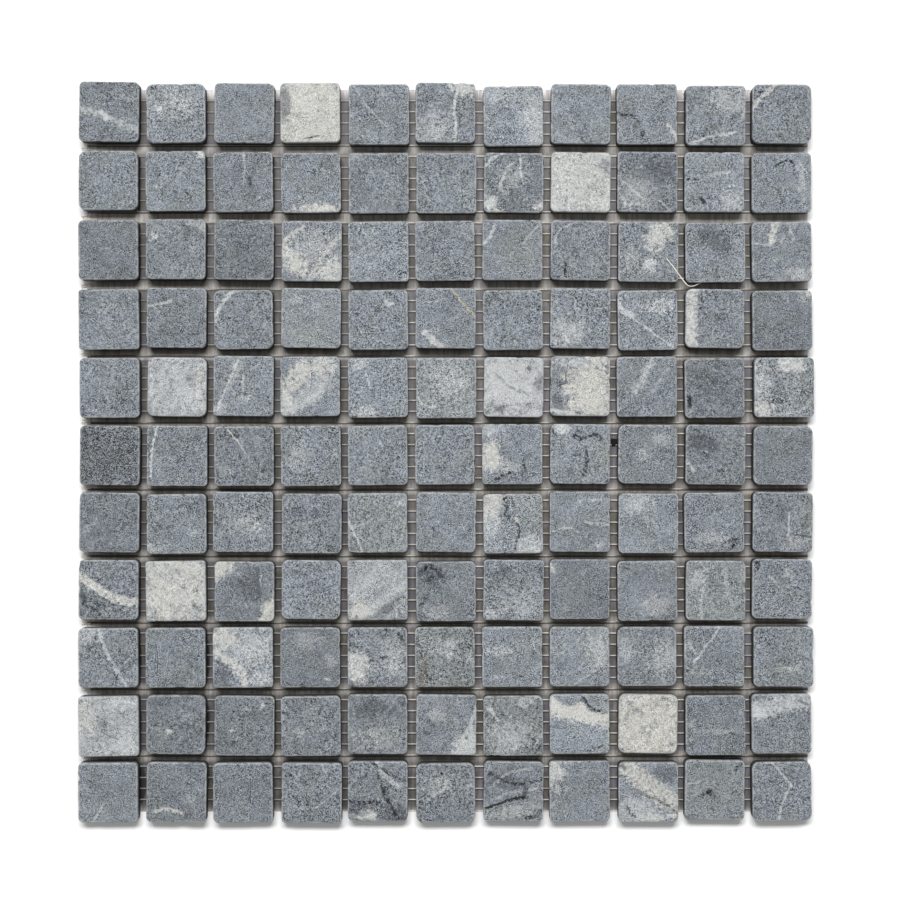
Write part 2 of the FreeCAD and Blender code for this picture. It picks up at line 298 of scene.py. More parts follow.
        vein([(10, 20), (40, 50), (30, 95)], 2.4, 0.5, 0.9), crack([(50, 35), (62, 45)], 0.8, 0.5)],
    (7, 2): [pale((10, 8), (50, 20), turn=-38, warmth=0.8), pale((97, 85), (20, 42), turn=25, warmth=0.9),
        dark((55, 40), (40, 35), 0.7), vein([(77, 15), (78, 40)], 0.5), light((55, 70), (20, 8), turn=10)],
    (7, 4): [light((50, 45), (90, 70)), vein([(5, 60), (35, 35), (55, 5)], 2.4, 0.4, 0.1),
        vein([(20, 95), (60, 65), (100, 35)], 2.6, 0.35, 0.1), pale((22, 85), (28, 20), 0.9, warmth=0.6),
        vein([(50, 50), (75, 30), (100, 10)], 2.0, 0.3, 0.1), dark((20, 22), (35, 8), 0.5, -40),
        dark((65, 80), (40, 10), 0.7, -38), dark((55, 50), (50, 7), 0.5, -40)],
    (7, 5): [crack([(10, 14), (25, 8), (40, 16)], 1.8), crack([(10, 72), (18, 56)], 1.6, 0.9),
        crack([(20, 30), (35, 22), (50, 26)], 1.6, 0.8), light((35, 85), (25, 14)),
        dark((28, 25), (30, 25), 0.7)],
    (7, 6): [light((14, 90), (14, 12)), crack([(92, 10), (97, 30)], 1.4, 0.8),
        light((50, 75), (50, 25), 0.5), dark((30, 22), (40, 14), 0.5)],
    (7, 7): [pale((4, 14), (7, 12))],
    (7, 8): [crack([(14, 10), (30, 20)], 1.0, 0.7), light((65, 75), (25, 20)),
        crack([(10, 45), (20, 30)], strength=0.5)],
    (7, 9): [green((50, 50), (100, 100)), vein([(30, 48), (25, 70), (27, 97)], 1.2, 0.55, 0.4),
        vein([(62, 0), (68, 40), (80, 80)], 1.6, 0.3), light((20, 30), (16, 20))],
    (7, 10): [vein([(30, 30), (50, 45), (70, 40)], 1.2, 0.4), crack([(4, 4), (10, 12), (5, 20)], 1.8),
        light((60, 25), (12, 10)), crack([(62, 40), (70, 55)], 1.0, 0.7)],
    (8, 0): [vein([(34, -2), (50, 45), (80, 98)], 1.3, 0.7, 0.1), vein([(97, 42), (70, 66)], 0.6, 0.4),
        light((15, 10), (25, 14))],
    (8, 2): [pale((15, 15), (30, 28), warmth=0.5), dark((12, 85), (20, 20)),
        vein([(-5, 35), (30, 58), (50, 80), (52, 105)], 3.4, 0.9, 0.6), light((65, 35), (40, 40)),
        light((80, 85), (20, 14)), crack([(5, 55), (25, 68), (38, 90)], 0.8, 0.6)],
    (8, 3): [light((50, 22), (25, 14)), pale((78, 88), (8, 5)), light((85, 55), (12, 12)),
        crack([(5, 90), (20, 98)], 1.1, 0.7)],
    (8, 4): [pale((14, 66), (25, 28), warmth=0.4), light((75, 50), (30, 35), 0.8),
        crack([(30, 58), (45, 55), (62, 50)], 1.4, 0.9), crack([(85, 10), (95, 28)], 1.4, 0.8),
        crack([(36, 75), (40, 90)], strength=0.6)],
    (8, 5): [green((50, 50), (100, 100)), brown((10, 80), (20, 35), 0.5), pale((60, 45), (10, 6), 0.8),
        light((92, 55), (10, 8)), light((45, 35), (30, 20), 0.8)],
    (8, 6): [pale((25, 83), (14, 6), 0.8), light((30, 40), (25, 10), 0.8)],
    (8, 7): [vein([(10, 50), (40, 30), (60, 5)], 0.7, 0.3),
        vein([(40, 97), (65, 80), (95, 60)], strength=0.45), light((80, 40), (25, 35), 0.8),
        green((75, 35), (30, 35))],
    (8, 8): [light((80, 50), (30, 35), 0.8), light((15, 45), (12, 30), 0.7)],
    (8, 9): [vein([(60, -2), (45, 22), (30, 42), (15, 62)], 0.9, 0.8), vein([(10, 30), (17, 42)], 1.0),
        green((20, 80), (20, 15)), vein([(30, 70), (40, 55)], 0.7, 0.4)],
    (8, 10): [green((50, 80), (40, 25)), light((60, 70), (30, 10), 0.6)],
    (9, 0): [light((50, 50), (110, 110)), pale((10, 30), (30, 40), 0.8, warmth=0.5),
        pale((75, 80), (40, 30), 0.7, warmth=0.2), dark((42, 45), (16, 40), 0.45, -35),
        pale((70, 12), (30, 12), 0.7, warmth=0.1)],
    (9, 1): [pale((38, 60), (7, 5)), green((25, 68), (14, 10))],
    (9, 2): [pale((55, 22), (7, 5)), pale((30, 58), (6, 4)), pale((80, 14), (8, 7))],
    (9, 3): [crack([(2, 24), (10, 28), (14, 34)], 1.4), light((32, 60), (10, 12))],
    (9, 4): [dark((50, 20), (60, 25), 0.6), light((50, 75), (60, 30), 0.6), green((60, 70), (30, 20))],
    (9, 5): [pale((88, 90), (46, 26), turn=-50, warmth=0.2),
        vein([(78, 72), (90, 50), (100, 20)], 1.6, 0.7, 0.4), crack([(20, 42), (28, 52)], 1.8, 0.7),
        light((35, 35), (14, 16)), crack([(14, 60), (22, 66)], 1.4, 0.6)],
    (9, 6): [green((50, 50), (90, 90)), light((45, 70), (50, 30)),
        vein([(10, 20), (25, 40)], 1.2, 0.7, 0.6), crack([(75, 65), (86, 75), (78, 92)], 1.3, 0.9),
        light((70, 10), (15, 10)), crack([(95, 85), (88, 95)], 1.1, 0.8)],
    (9, 7): [vein([(-5, 20), (25, 30), (55, 35), (105, 46)], 5.6, 1.0, 0.8),
        vein([(5, 20), (40, 30), (80, 42)], 3.2, 1.0, 0.6),
        crack([(58, 8), (64, 17), (74, 26), (85, 28)], 1.3, solid=0.5),
        pale((50, 22), (13, 12), warmth=0.8), pale((8, 14), (12, 10), warmth=0.6),
        crack([(85, 5), (97, 14)], strength=0.8), crack([(65, 95), (78, 90), (90, 86)], 1.1, 0.8),
        crack([(2, 55), (25, 56)], 1.1, 0.5), green((88, 90), (12, 10))],
    (9, 8): [pale((50, 50), (100, 100), warmth=0.85), dark((30, 25), (30, 10), 0.5, 30),
        dark((75, 70), (20, 6), 0.5)],
    (9, 9): [pale((80, 26), (6, 5)), light((10, 45), (6, 10)), light((50, 60), (40, 6))],
    (9, 10): [vein([(-5, 28), (35, 20), (65, 14), (105, 12)], 6.4, 0.8, 0.1),
        pale((12, 32), (20, 12), warmth=0.2), crack([(30, 10), (50, 20)], 1.0, 0.6),
        dark((30, 8), (30, 10), 0.5), crack([(75, 10), (95, 18)], 1.0, 0.6)],
    (10, 0): [vein([(24, 98), (42, 72)], 0.9)],
    (10, 1): [vein([(15, 82), (35, 78), (58, 84)], 1.2, 0.85, 0.7)],
    (10, 3): [vein([(55, 75), (75, 60), (97, 42)], 0.7, 0.45)],
    (10, 4): [vein([(50, 0), (60, 22), (85, 42)], 2.0, warmth=0.3), pale((30, 92), (22, 12), warmth=0.5),
        crack([(-2, 66), (20, 70), (42, 68), (56, 72)], 1.6),
        crack([(56, 45), (68, 65), (85, 98)], 1.6, 0.9), crack([(42, 4), (70, 20), (98, 34)], 1.2, 0.9),
        crack([(50, 20), (62, 50)], 1.3, 0.8), dark((80, 88), (30, 16)), dark((15, 82), (20, 14), 0.8)],
    (10, 5): [light((40, 35), (25, 20)), vein([(20, 60), (50, 40)], 1.0, 0.5)],
    (10, 6): [crack([(0, 80), (15, 74), (30, 69), (50, 62), (68, 60)], 1.0, solid=1.0),
        crack([(72, 44), (66, 60)], 1.6, solid=0.6),
        crack([(10, 20), (35, 32), (60, 38), (98, 28)], 1.4, 0.9),
        crack([(97, 80), (88, 90), (72, 93)], 1.4, solid=0.3), green((45, 85), (50, 14)),
        dark((40, 35), (45, 30), 0.7), vein([(10, 45), (40, 20), (80, 10)], 1.0, 0.5),
        vein([(20, 62), (50, 50), (90, 45)], 1.2, 0.4), light((55, 82), (40, 12), turn=-10)],
    (10, 7): [pale((8, 15), (24, 32), 0.8, warmth=0.4)],
    (10, 8): [vein([(10, 5), (50, 38), (105, 78)], 7.5, 0.85, 0.8), light((30, 80), (40, 30)),
        crack([(30, 45), (50, 56), (75, 68), (100, 85)], 1.1, 0.8, 0.4), dark((80, 18), (30, 20), 0.8),
        pale((55, 92), (40, 10), 0.8, warmth=0.4), crack([(3, 3), (10, 10)], 1.6),
        crack([(12, 75), (30, 95)], 1.6, 0.8), dark((30, 55), (16, 8), turn=30)],
    (10, 9): [crack([(13, 58), (26, 62), (36, 54), (48, 60)], 1.5),
        crack([(95, 3), (84, 16)], 1.4, solid=0.4), crack([(75, 22), (68, 38)], 0.8, 0.6),
        green((50, 40), (60, 40)), crack([(38, 50), (44, 54)], 2.0, 0.9, 0.6),
        vein([(5, 40), (30, 34)], strength=0.5), crack([(80, 55), (86, 50)], 1.0, 0.7)],
    (10, 10): [vein([(33, 0), (50, 20), (66, 40)], strength=0.7),
        vein([(64, 40), (50, 70), (44, 100)], strength=0.7)],
}

# The darkest chip, and how much stronger its speckle is.
DARKEST_CHIP = (5, 0)
DARKEST_GRAIN = 1.8
# Whole chips that are darker or lighter than the usual grey: how light, and where.
SHADES = [
    (0.62, {DARKEST_CHIP}),
    (0.78, {(2, 2), (9, 1)}),
    (0.88, {(0, 0), (1, 2), (1, 6), (1, 8), (2, 0), (3, 1), (3, 10), (4, 9), (5, 2), (5, 9), (5, 10),
            (6, 0), (7, 0), (7, 2), (7, 5), (7, 7), (8, 3), (9, 2), (9, 4), (10, 1), (10, 2), (10, 3),
            (10, 5)}),
    (1.08, {(0, 2), (0, 9), (1, 1), (1, 9), (1, 10), (2, 3), (2, 9), (3, 8), (3, 9), (4, 3), (4, 6),
            (4, 10), (5, 4), (5, 5), (5, 6), (6, 2), (6, 4), (6, 8), (6, 9), (7, 4), (7, 6), (7, 9),
            (8, 0), (8, 6), (9, 0), (10, 6)}),
    (1.2, {(0, 6), (2, 4), (3, 3), (4, 4), (4, 5), (5, 7), (6, 6), (8, 2), (8, 7), (9, 7), (10, 8)}),
]
# The most veins and cracks that one chip's material can read, and what it reads where there is none:
# the distance, half width, strength, and how warm or solid.
LINE_CHANNELS = {"vein": 4, "crack": 5}
FAR_OFF = 50.0
NO_LINE = (FAR_OFF, 1.0, 0.0, 0.0)
# How far past its ends a vein or crack fades out, in mm.
LINE_FADE = 1.5
NO_PATCH = -1.0
# Patches smaller than this share of a chip are fainter.
SMALL_PATCH = 0.09
SMALL_PATCH_STRENGTH = 0.6
# How much smaller a faint patch gets.
FAINT_SHRINK = 0.3


def shade_of(row, column):
    """How light a chip's grey is, against the usual grey."""
    drift = 1 + 0.05 * math.sin(2.1 * row + 1.3 * column * column)
    for value, places in SHADES:
        if (row, column) in places:
            return value * drift
    return drift


def smooth_curve(points, steps=8):
    """Points along a smooth curve through these points."""
    points = np.array(points, float)
    ends = [2 * points[0] - points[1], *points, 2 * points[-1] - points[-2]]
    line = []
    for before, start, stop, after in zip(ends, ends[1:], ends[2:], ends[3:]):
        for t in np.arange(steps) / steps:
            line.append(0.5 * (2 * start + (stop - before) * t
                               + (2 * before - 5 * start + 4 * stop - after) * t ** 2
                               + (3 * start - before - 3 * stop + after) * t ** 3))
    return np.array([*line, points[-1]])


def signed_distance(places, line):
    """How far places lie to one side of a line or the other, and how far past its ends."""
    best = np.full(len(places), np.inf)
    side = np.full(len(places), FAR_OFF)
    beyond = np.full(len(places), FAR_OFF)
    last = len(line) - 2
    for number, (start, stop) in enumerate(zip(line, line[1:])):
        along = stop - start
        length = np.hypot(*along)
        along = along / length
        off = places - start
        run = off @ along
        across = off[:, 0] * along[1] - off[:, 1] * along[0]
        past = np.maximum(-run, run - length)
        far = np.hypot(across, np.maximum(past, 0))
        nearer = far < best
        best[nearer] = far[nearer]
        side[nearer] = across[nearer]
        free_end = np.where(run < 0, number == 0, number == last)
        beyond[nearer] = np.where(free_end, np.maximum(past, 0), 0)[nearer]
    return side, beyond


def stone_marks(marks, shares, width):
    """The attributes that carry a chip's marks, at places given as shares of its width, which is in mm."""
    attributes = {}
    for kind, channels in LINE_CHANNELS.items():
        lines = [mark for mark in marks if mark["kind"] == kind]
        for channel in range(channels):
            values = np.tile(NO_LINE, (len(shares), 1))
            if channel < len(lines):
                mark = lines[channel]
                line = smooth_curve(np.array(mark["points"]) / 100) * width
                values[:, 0], beyond = signed_distance(shares * width, line)
                values[:, 1] = mark["width"] / 2
                values[:, 2] = np.clip(1 - beyond / LINE_FADE, 0, 1) * mark["strength"]
                values[:, 3] = mark["warm_or_solid"]
            attributes[f"{kind}_{channel + 1}"] = values
    depths = {tone: np.full(len(shares), NO_PATCH) for tone in PATCH_TONES}
    warmth = np.full(len(shares), USUAL_WARMTH)
    for mark in marks:
        if mark["kind"] != "patch":
            continue
        tone = mark["tone"]
        small = min(mark["reach"]) <= SMALL_PATCH
        strength = mark["strength"] * (SMALL_PATCH_STRENGTH if small else 1)
        off = turned(shares - mark["middle"], math.radians(-mark["turn"])) / mark["reach"]
        inside = np.clip(1 - np.hypot(off[:, 0], off[:, 1]), -1, 1)
        inside = inside * strength - FAINT_SHRINK * (1 - strength)
        if tone == "pale":
            warmth = np.where(inside > depths[tone], mark["warmth"], warmth)
        depths[tone] = np.maximum(depths[tone], inside)
    attributes["patches"] = np.c_[depths["pale"], depths["light"], depths["dark"], depths["green"]]
    attributes["warmth_and_brown"] = np.c_[warmth, depths["brown"], np.zeros(len(shares))]
    return attributes


# The shape of a tumbled chip

FACE_CELLS = 38
EDGE_RINGS = 4
SIDE_RINGS = 3
BACK_RINGS = 2
# How far the edges of the face and back are worn round, and how much height is lost, from least to most.
EDGE_WEAR = (0.75, 1.15)
BACK_EDGE_WEAR = (0.4, 0.7)
HEIGHT_LOSS = (0.0, 0.2)
# How low the worn edge of the face reaches down the side, against its width.
EDGE_DROP = 0.8
SHARPEST_CORNER = 0.25
# Lumps in the wear of a chip: their size, and how many sizes of lump there are, each half the last.
BROAD_LUMPS = (7.0, 2)
FINE_LUMPS = (1.6, 3)
# How deep the wear goes all over, in broad lumps and in fine lumps, on the face and on the sides.
FACE_WEAR = (0.05, 0.05, 0.045)
SIDE_WEAR = (0.01, 0.09, 0.06)
# Small pieces knocked off the rim of the face: how many, how large, how far in from the chip's side
# and above its face they are centred, and how deep they cut against their reach.
BITES = (3, 6)
BITE_REACH = (0.7, 1.9)
BITE_INSET = 0.2
BITE_HEIGHT = 0.1
BITE_DEPTH = 0.5
GRAIN_STRENGTH = (0.85, 1.1)
# The chip that the loose yarn lies over, and how much lower it is to leave room for the yarn.
LOOSE_YARN_CHIP = (2, 8)
LOOSE_YARN_ROOM = 0.42


def chip_template():
    """The grid that every chip is shaped from: a square face, then rings down to the back.

    Each point has its place on the unit square, the slope of the surface there (0 on the face,
    a right angle on the sides, two on the back) and how far down the side it is.
    """
    side = FACE_CELLS + 1
    line = np.linspace(-1, 1, side)
    across, up = np.meshgrid(line, line)
    square = np.c_[across.ravel(), up.ravel()]
    faces = []
    for j in range(FACE_CELLS):
        for i in range(FACE_CELLS):
            a = j * side + i
            faces.append((a, a + 1, a + 1 + side, a + side))
    last = FACE_CELLS
    border = list(range(last))
    border += [j * side + last for j in range(last)]
    border += [last * side + i for i in range(last, 0, -1)]
    border += [j * side for j in range(last, 0, -1)]
    rings = [(90 * k / EDGE_RINGS, 0.0) for k in range(1, EDGE_RINGS + 1)]
    rings += [(90.0, k / SIDE_RINGS) for k in range(1, SIDE_RINGS + 1)]
    rings += [(90 + 90 * k / BACK_RINGS, 1.0) for k in range(1, BACK_RINGS + 1)]
    places = [square]
    slopes = [np.zeros(len(square))]
    drops = [np.zeros(len(square))]
    upper = border
    count = len(square)
    for slope, drop in rings:
        places.append(square[border])
        slopes.append(np.full(len(border), math.radians(slope)))
        drops.append(np.full(len(border), drop))
        lower = list(range(count, count + len(border)))
        count += len(border)
        for k in range(len(border)):
            after = (k + 1) % len(border)
            faces.append((upper[k], lower[k], lower[after], upper[after]))
        upper = lower
    # The back is a fan about one more point in its middle.
    places.append(np.zeros((1, 2)))
    slopes.append(np.full(1, math.pi))
    drops.append(np.full(1, 1.0))
    faces += [(upper[k], count, upper[(k + 1) % len(upper)]) for k in range(len(upper))]
    return {
        "square": np.concatenate(places),
        "slope": np.concatenate(slopes),
        "drop": np.concatenate(drops),
        "faces": faces,
    }


def rounded_square(square, reach, corner):
    """Points of a square moved to rounded squares of these half widths, and the way out there."""
    size = np.abs(square).max(axis=1)
    towards = square / np.maximum(size, 1e-9)[:, None]
    outer = towards * reach[:, None]
    inner = np.clip(outer, -(reach - corner)[:, None], (reach - corner)[:, None])
    off = outer - inner
    length = np.maximum(np.hypot(off[:, 0], off[:, 1]), 1e-9)
    out = off / length[:, None]
    return inner + out * corner[:, None], out


def roughness_at(points, size, octaves):
    """Fractal noise of about -1 to 1 at points, with lumps of about this size."""
    return np.array([noise.fractal(Vector(point / size), 1.0, 2.0, octaves) for point in points])


def chip_shape(template, lay, row, column):
    """The points of one worn chip in the frame, and the attributes that its material reads."""
    dice = random.Random(RANDOM_SEED + 1000 * row + column)
    seed = np.array([dice.uniform(-500, 500) for _ in range(3)])
    half = lay["half"]
    loss = dice.uniform(*HEIGHT_LOSS)
    if (row, column) == LOOSE_YARN_CHIP:
        loss = LOOSE_YARN_ROOM
    tall = lay["high"] - lay["low"] - loss
    edge = dice.uniform(*EDGE_WEAR)
    edge_drop = edge * EDGE_DROP
    back_edge = dice.uniform(*BACK_EDGE_WEAR)

    slope, drop, square = template["slope"], template["drop"], template["square"]
    sine, cosine = np.sin(slope), np.cos(slope)
    below = slope > math.pi / 2
    inset = np.where(below, back_edge, edge) * (1 - sine)
    size = np.abs(square).max(axis=1)
    reach = size * (half - edge) + (edge - inset) * (slope > 0)
    corner = np.maximum(lay["corner"] - inset, SHARPEST_CORNER) * np.where(slope > 0, 1.0, size ** 3)
    corner = np.minimum(corner, reach * 0.999)
    plan, out = rounded_square(square, reach, corner)
    side_height = (tall - edge_drop * (1 - cosine)) * (1 - drop) + back_edge * drop
    points = np.c_[plan, np.where(below, back_edge * (1 + cosine), side_height)]
    way_out = np.c_[out * sine[:, None], cosine]

    # Wear eats into the rim and sides more than into the face, and leaves the back flat.
    worn = sine ** 2
    lumps = [roughness_at(points + seed, *kind) for kind in (BROAD_LUMPS, FINE_LUMPS)]
    lumps = np.stack([np.ones(len(points)), *lumps])
    wear = (1 - worn) * (FACE_WEAR @ lumps) + worn * (SIDE_WEAR @ lumps)
    wear = np.where(below & (cosine < -0.5), 0.0, wear)
    for _ in range(dice.randint(*BITES)):
        turn = dice.uniform(0, 2 * math.pi)
        at = np.array([math.cos(turn), math.sin(turn)])
        at = at / np.abs(at).max() * (half - BITE_INSET)
        far = np.linalg.norm(points - (*at, tall + BITE_HEIGHT), axis=1)
        wear = np.maximum(wear, (dice.uniform(*BITE_REACH) - far) * BITE_DEPTH)
    points = points - way_out * np.maximum(wear, 0)[:, None]

    shares = np.c_[(points[:, 0] + half) / (2 * half), (half - points[:, 1]) / (2 * half)]
    attributes = stone_marks(FEATURES.get((row, column), []), shares, 2 * half)
    attributes["stone_point"] = points + seed
    rim = np.clip(sine, 0, 1) * (slope <= math.pi / 2) * (drop == 0)
    back = np.clip(-cosine, 0, 1)
    attributes["zones"] = np.c_[rim, back, np.where(below, 1.0, drop)]
    grain_strength = dice.uniform(*GRAIN_STRENGTH)
    if (row, column) == DARKEST_CHIP:
        grain_strength *= DARKEST_GRAIN
    attributes["look"] = np.tile((shade_of(row, column), grain_strength, 0.0), (len(points), 1))

    plan = turned(points[:, :2], lay["turn"]) + lay["middle"]
    return np.c_[plan, points[:, 2] + lay["low"]], attributes


# Pieces

class Gathered:
    """Many shapes gathered into one mesh: their points, faces and attributes."""

    def __init__(self):
        self.points = []
        self.faces = []
        self.attributes = {}
        self.count = 0

    def add(self, points, faces, attributes):
        """Add one shape, whose faces count its own points."""
        self.points.append(points)
        self.faces += [tuple(corner + self.count for corner in face) for face in faces]
        for key, values in attributes.items():
            self.attributes.setdefault(key, []).append(values)
        self.count += len(points)

    def piece(self, name, material, slot, *nodes):
        """One piece with all of this in it, which stands for these nodes."""
        attributes = {key: np.concatenate(values) for key, values in self.attributes.items()}
        made = new_mesh(name, np.concatenate(self.points), self.faces, attributes, material)
        place_piece(made, slot, *nodes)


def new_mesh(name, points, faces, attributes, material, smooth=True):
    """An object with this mesh, made in millimetres, and its attributes."""
    mesh = bpy.data.meshes.new(name)
    mesh.from_pydata((points * MM).tolist(), [], faces)
    mesh.update()
    for key, values in attributes.items():
        values = np.asarray(values, np.float32)
        kind, field = ("FLOAT_COLOR", "color") if values.shape[1] == 4 else ("FLOAT_VECTOR", "vector")
        mesh.attributes.new(key, kind, "POINT").data.foreach_set(field, values.ravel())
    mesh.polygons.foreach_set("use_smooth", [smooth] * len(mesh.polygons))
    mesh.materials.append(material)
    made = bpy.data.objects.new(name, mesh)
    bpy.context.collection.objects.link(made)
    return made


def place_piece(piece, slot, *nodes):
    """Make a piece ride with the sheet and stand for these nodes. Its slot is not used."""
    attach(piece, "root")
    if nodes:
        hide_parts(*nodes)


def make_chip_row(template, row, material):
    """One row of worn chips as a single piece, in place of the frame's own row."""
    chips = Gathered()
    for column, lay in enumerate(chip_lays[row]):
        points, attributes = chip_shape(template, lay, row, column)
        chips.add(points, template["faces"], attributes)
    chips.piece(f"stones_row_{row + 1:02d}", material, "tumbled_marble", row_node(row))


# The net

# The crosswise yarns (weft) and the lengthwise ones (warp). The clearances keep each layer off the next.
WEFT_WIDTH = 0.56
WEFT_THICKNESS = 0.2
WEFT_SIDES = 6
WEFT_CLEARANCE = 0.005
WARP_YARN_WIDTH = 0.27
WARP_YARN_THICKNESS = 0.12
WARP_SIDES = 4
WARP_CLEARANCE = 0.002
# A crosswise yarn has a point at each crossing, but none this close to its ends.
PLAIN_END = 0.5
# How far the two yarns of a lengthwise pair swing to the side as they twist.
WARP_SWING = 0.12
# How far apart the grain of one yarn lies from the next, so that no two look the same.
WEFT_GRAIN_STEP = 3.7
WARP_GRAIN_STEP = 5.1
FRAYED_GRAIN_STEP = 0.7
# How far from the middle of a row joint the net is in shade, and how far from a column joint it isn't.
SHADE_REACH = 1.9
CROSSING_REACH = 2.4
# How light the net is from left to right, painted shade and light that is darkest at the left:
# X, crosswise yarns, skin.
NET_TONES = [
    (-126, 0.38, 0.64), (-42, 0.56, 0.9), (-14, 0.84, 1.15),
    (42, 0.88, 1.35), (98, 0.8, 1.08), (126, 0.72, 1.3),
]


def yarn_shape(path, wide, tall, sides):
    """The points and faces of a yarn. wide and tall reach from its path to its side and to its top."""
    turns = 2 * math.pi * (np.arange(sides) + 0.5) / sides
    points = np.stack([path + wide * math.cos(turn) + tall * math.sin(turn) for turn in turns], axis=1)
    faces = []
    for step in range(len(path) - 1):
        for side in range(sides):
            a = step * sides + side
            b = step * sides + (side + 1) % sides
            faces.append((a, b, b + sides, a + sides))
    faces.append(tuple(reversed(range(sides))))
    faces.append(tuple(range((len(path) - 1) * sides, len(path) * sides)))
    faces_outward = np.linalg.det([np.ravel(wide)[:3], np.ravel(tall)[:3], path[1] - path[0]]) > 0
    if not faces_outward:
        faces = [tuple(reversed(face)) for face in faces]
    return points.reshape(-1, 3), faces


def straight_yarn(path, across, width, thickness, sides, seed):
    """A flat yarn along a path that is wide along X (across 0) or Y (across 1), with its grain."""
    wide = np.zeros(3)
    wide[across] = width / 2
    points, faces = yarn_shape(path, wide, np.array([0.0, 0.0, thickness / 2]), sides)
    off_middle = points[:, across] - path[:, across].repeat(sides)
    grain = np.c_[points[:, 1 - across], off_middle, np.full(len(points), seed)]
    return points, faces, {"yarn_point": grain}


def strand_lines(name, across):
    """Each strand's place across its layer, and its two ends, in order."""
    along = 1 - across
    solids = islands(name, across)
    return [(solid[:, across].mean(), solid[:, along].min(), solid[:, along].max()) for solid in solids]


def wander(places, number, size=22.0, reach=0.12):
    """A gentle sideways drift of a yarn along its length."""
    return np.array([reach * noise.noise(Vector((place / size, number * 7.3, 0.5))) for place in places])


def net_tone(points, column):
    """How much painted light and shade the net gets at these points: its crosswise yarns (column 1) or the
    skin (column 2).
    """
    tones = np.array(NET_TONES)
    return np.interp(points[:, 0], tones[:, 0], tones[:, column])


def near_any(places, lines, reach):
    """Which places lie within reach of one of these lines."""
    return np.abs(places[:, None] - lines).min(axis=1) < reach


def make_weft(material):
    """The crosswise yarns, flat and nearly straight."""
    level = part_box("mesh_weft")[1].z / MM - WEFT_THICKNESS / 2 - WEFT_CLEARANCE
    crossings = [place for place, _, _ in strand_lines("mesh_warp", 0)]
    yarns = Gathered()
    for number, (place, low, high) in enumerate(strand_lines("mesh_weft", 1)):
        x = np.array([low, *[c for c in crossings if low + PLAIN_END < c < high - PLAIN_END], high])
        path = np.c_[x, place + wander(x, number), np.full(len(x), level)]
        seed = number * WEFT_GRAIN_STEP
        points, faces, attributes = straight_yarn(path, 1, WEFT_WIDTH, WEFT_THICKNESS, WEFT_SIDES, seed)
        in_shade = near_any(points[:, 1], row_joints, SHADE_REACH)
        in_shade = in_shade & ~near_any(points[:, 0], column_joints, CROSSING_REACH)
        # Painted shade on the yarn: full in the row joints, and darkest towards the left.
        attributes["yarn_shade"] = np.c_[in_shade, 1 - net_tone(points, 1), np.zeros(len(points))]
        yarns.add(points, faces, attributes)
    yarns.piece("net_weft", material, "fibre_net", "mesh_weft")


def make_warp(material):
    """The lengthwise yarns: twisted pairs, stuck to the undersides of the crosswise yarns."""
    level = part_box("mesh_warp")[1].z / MM / 2
    lift = level - WARP_YARN_THICKNESS / 2 - WARP_CLEARANCE
    crossings = [place for place, _, _ in strand_lines("mesh_weft", 1)]
    pitch = crossings[1] - crossings[0]
    yarns = Gathered()
    for number, (place, low, high) in enumerate(strand_lines("mesh_warp", 0)):
        y = np.clip(np.arange(low, high + pitch / 4, pitch / 2), low, high)
        phase = math.pi * (y - crossings[0]) / pitch
        drift = wander(y, number + 100)
        for turn in (0.0, math.pi):
            x = place + drift + WARP_SWING * np.sin(phase + turn)
            path = np.c_[x, y, level + lift * np.cos(phase + turn)]
            seed = number * WARP_GRAIN_STEP + turn
            yarns.add(*straight_yarn(path, 0, WARP_YARN_WIDTH, WARP_YARN_THICKNESS, WARP_SIDES, seed))
    yarns.piece("net_warp", material, "fibre_net", "mesh_warp")


# The glue that dried between the yarns in the joints

SKIN_LEVEL = 0.19
SKIN_THICKNESS = 0.05
SKIN_LUMPS = (6.0, 2)
SKIN_LUMP_HEIGHT = 0.02
# How far the skin stays inside the net's edges.
SKIN_INSET = 0.1
# Half the width of a joint, and how far the skin reaches in under the chips.
HALF_JOINT = 1.55
UNDER_CHIP = 1.3
# Cells of the skin's mesh: how many across a joint, how long elsewhere, and the least.
JOINT_CELLS = 4
LONG_CELL = 1.9
LEAST_CELL = 0.2
# Painted shadow along the lower side of a crosswise yarn: how far off the yarn, and how strong there.
RUNG_SHADOW = [(0.30, 0.0), (-0.22, 1.0), (-0.62, 0.85), (-1.0, 0.0)]
# How far in from the net's edges the skin is thin and clean, and lighter with painted light:
# left and lower edge, right and upper edge.
LOW_MARGINS = (7.0, 1.0)
HIGH_MARGINS = (7.0, 7.0)
# Places where the skin is painted black: the first is dirt under the crumbs, the others painted shadow
# in the joints at the left of the lower rows. Middle and reach in the sheet's X and Y. The edge is how far
# a place's black spreads: it is full at its middle and gone at this many times its reach.
DARK_CELLS = [
    ((69.8, 4.2), (1.7, 2.1)), ((-126.3, -137.2), (2.2, 9.0)), ((-127.4, -112.1), (1.4, 9.5)),
    ((-127.4, -86.2), (1.4, 11.0)), ((-99.4, -85.4), (1.6, 10.5)), ((-99.4, -111.2), (1.6, 9.5)),
    ((-99.4, -135.5), (1.3, 6.5)),
]
DARK_CELL_EDGE = 1.3


def grid_lines(low, high, joints, half_joint):
    """Grid lines from edge to edge, close together in the joints, and which spans are in a joint."""
    edges = []
    for joint in joints:
        edges += [(joint - half_joint, False), (joint + half_joint, True)]
    edges.append((high, False))
    lines, in_joint = [low], []
    for stop, is_joint in edges:
        start = lines[-1]
        cells = JOINT_CELLS if is_joint else max(1, round((stop - start) / LONG_CELL))
        lines += list(np.linspace(start, stop, cells + 1)[1:])
        in_joint += [is_joint] * cells
    return np.array(lines), np.array(in_joint)


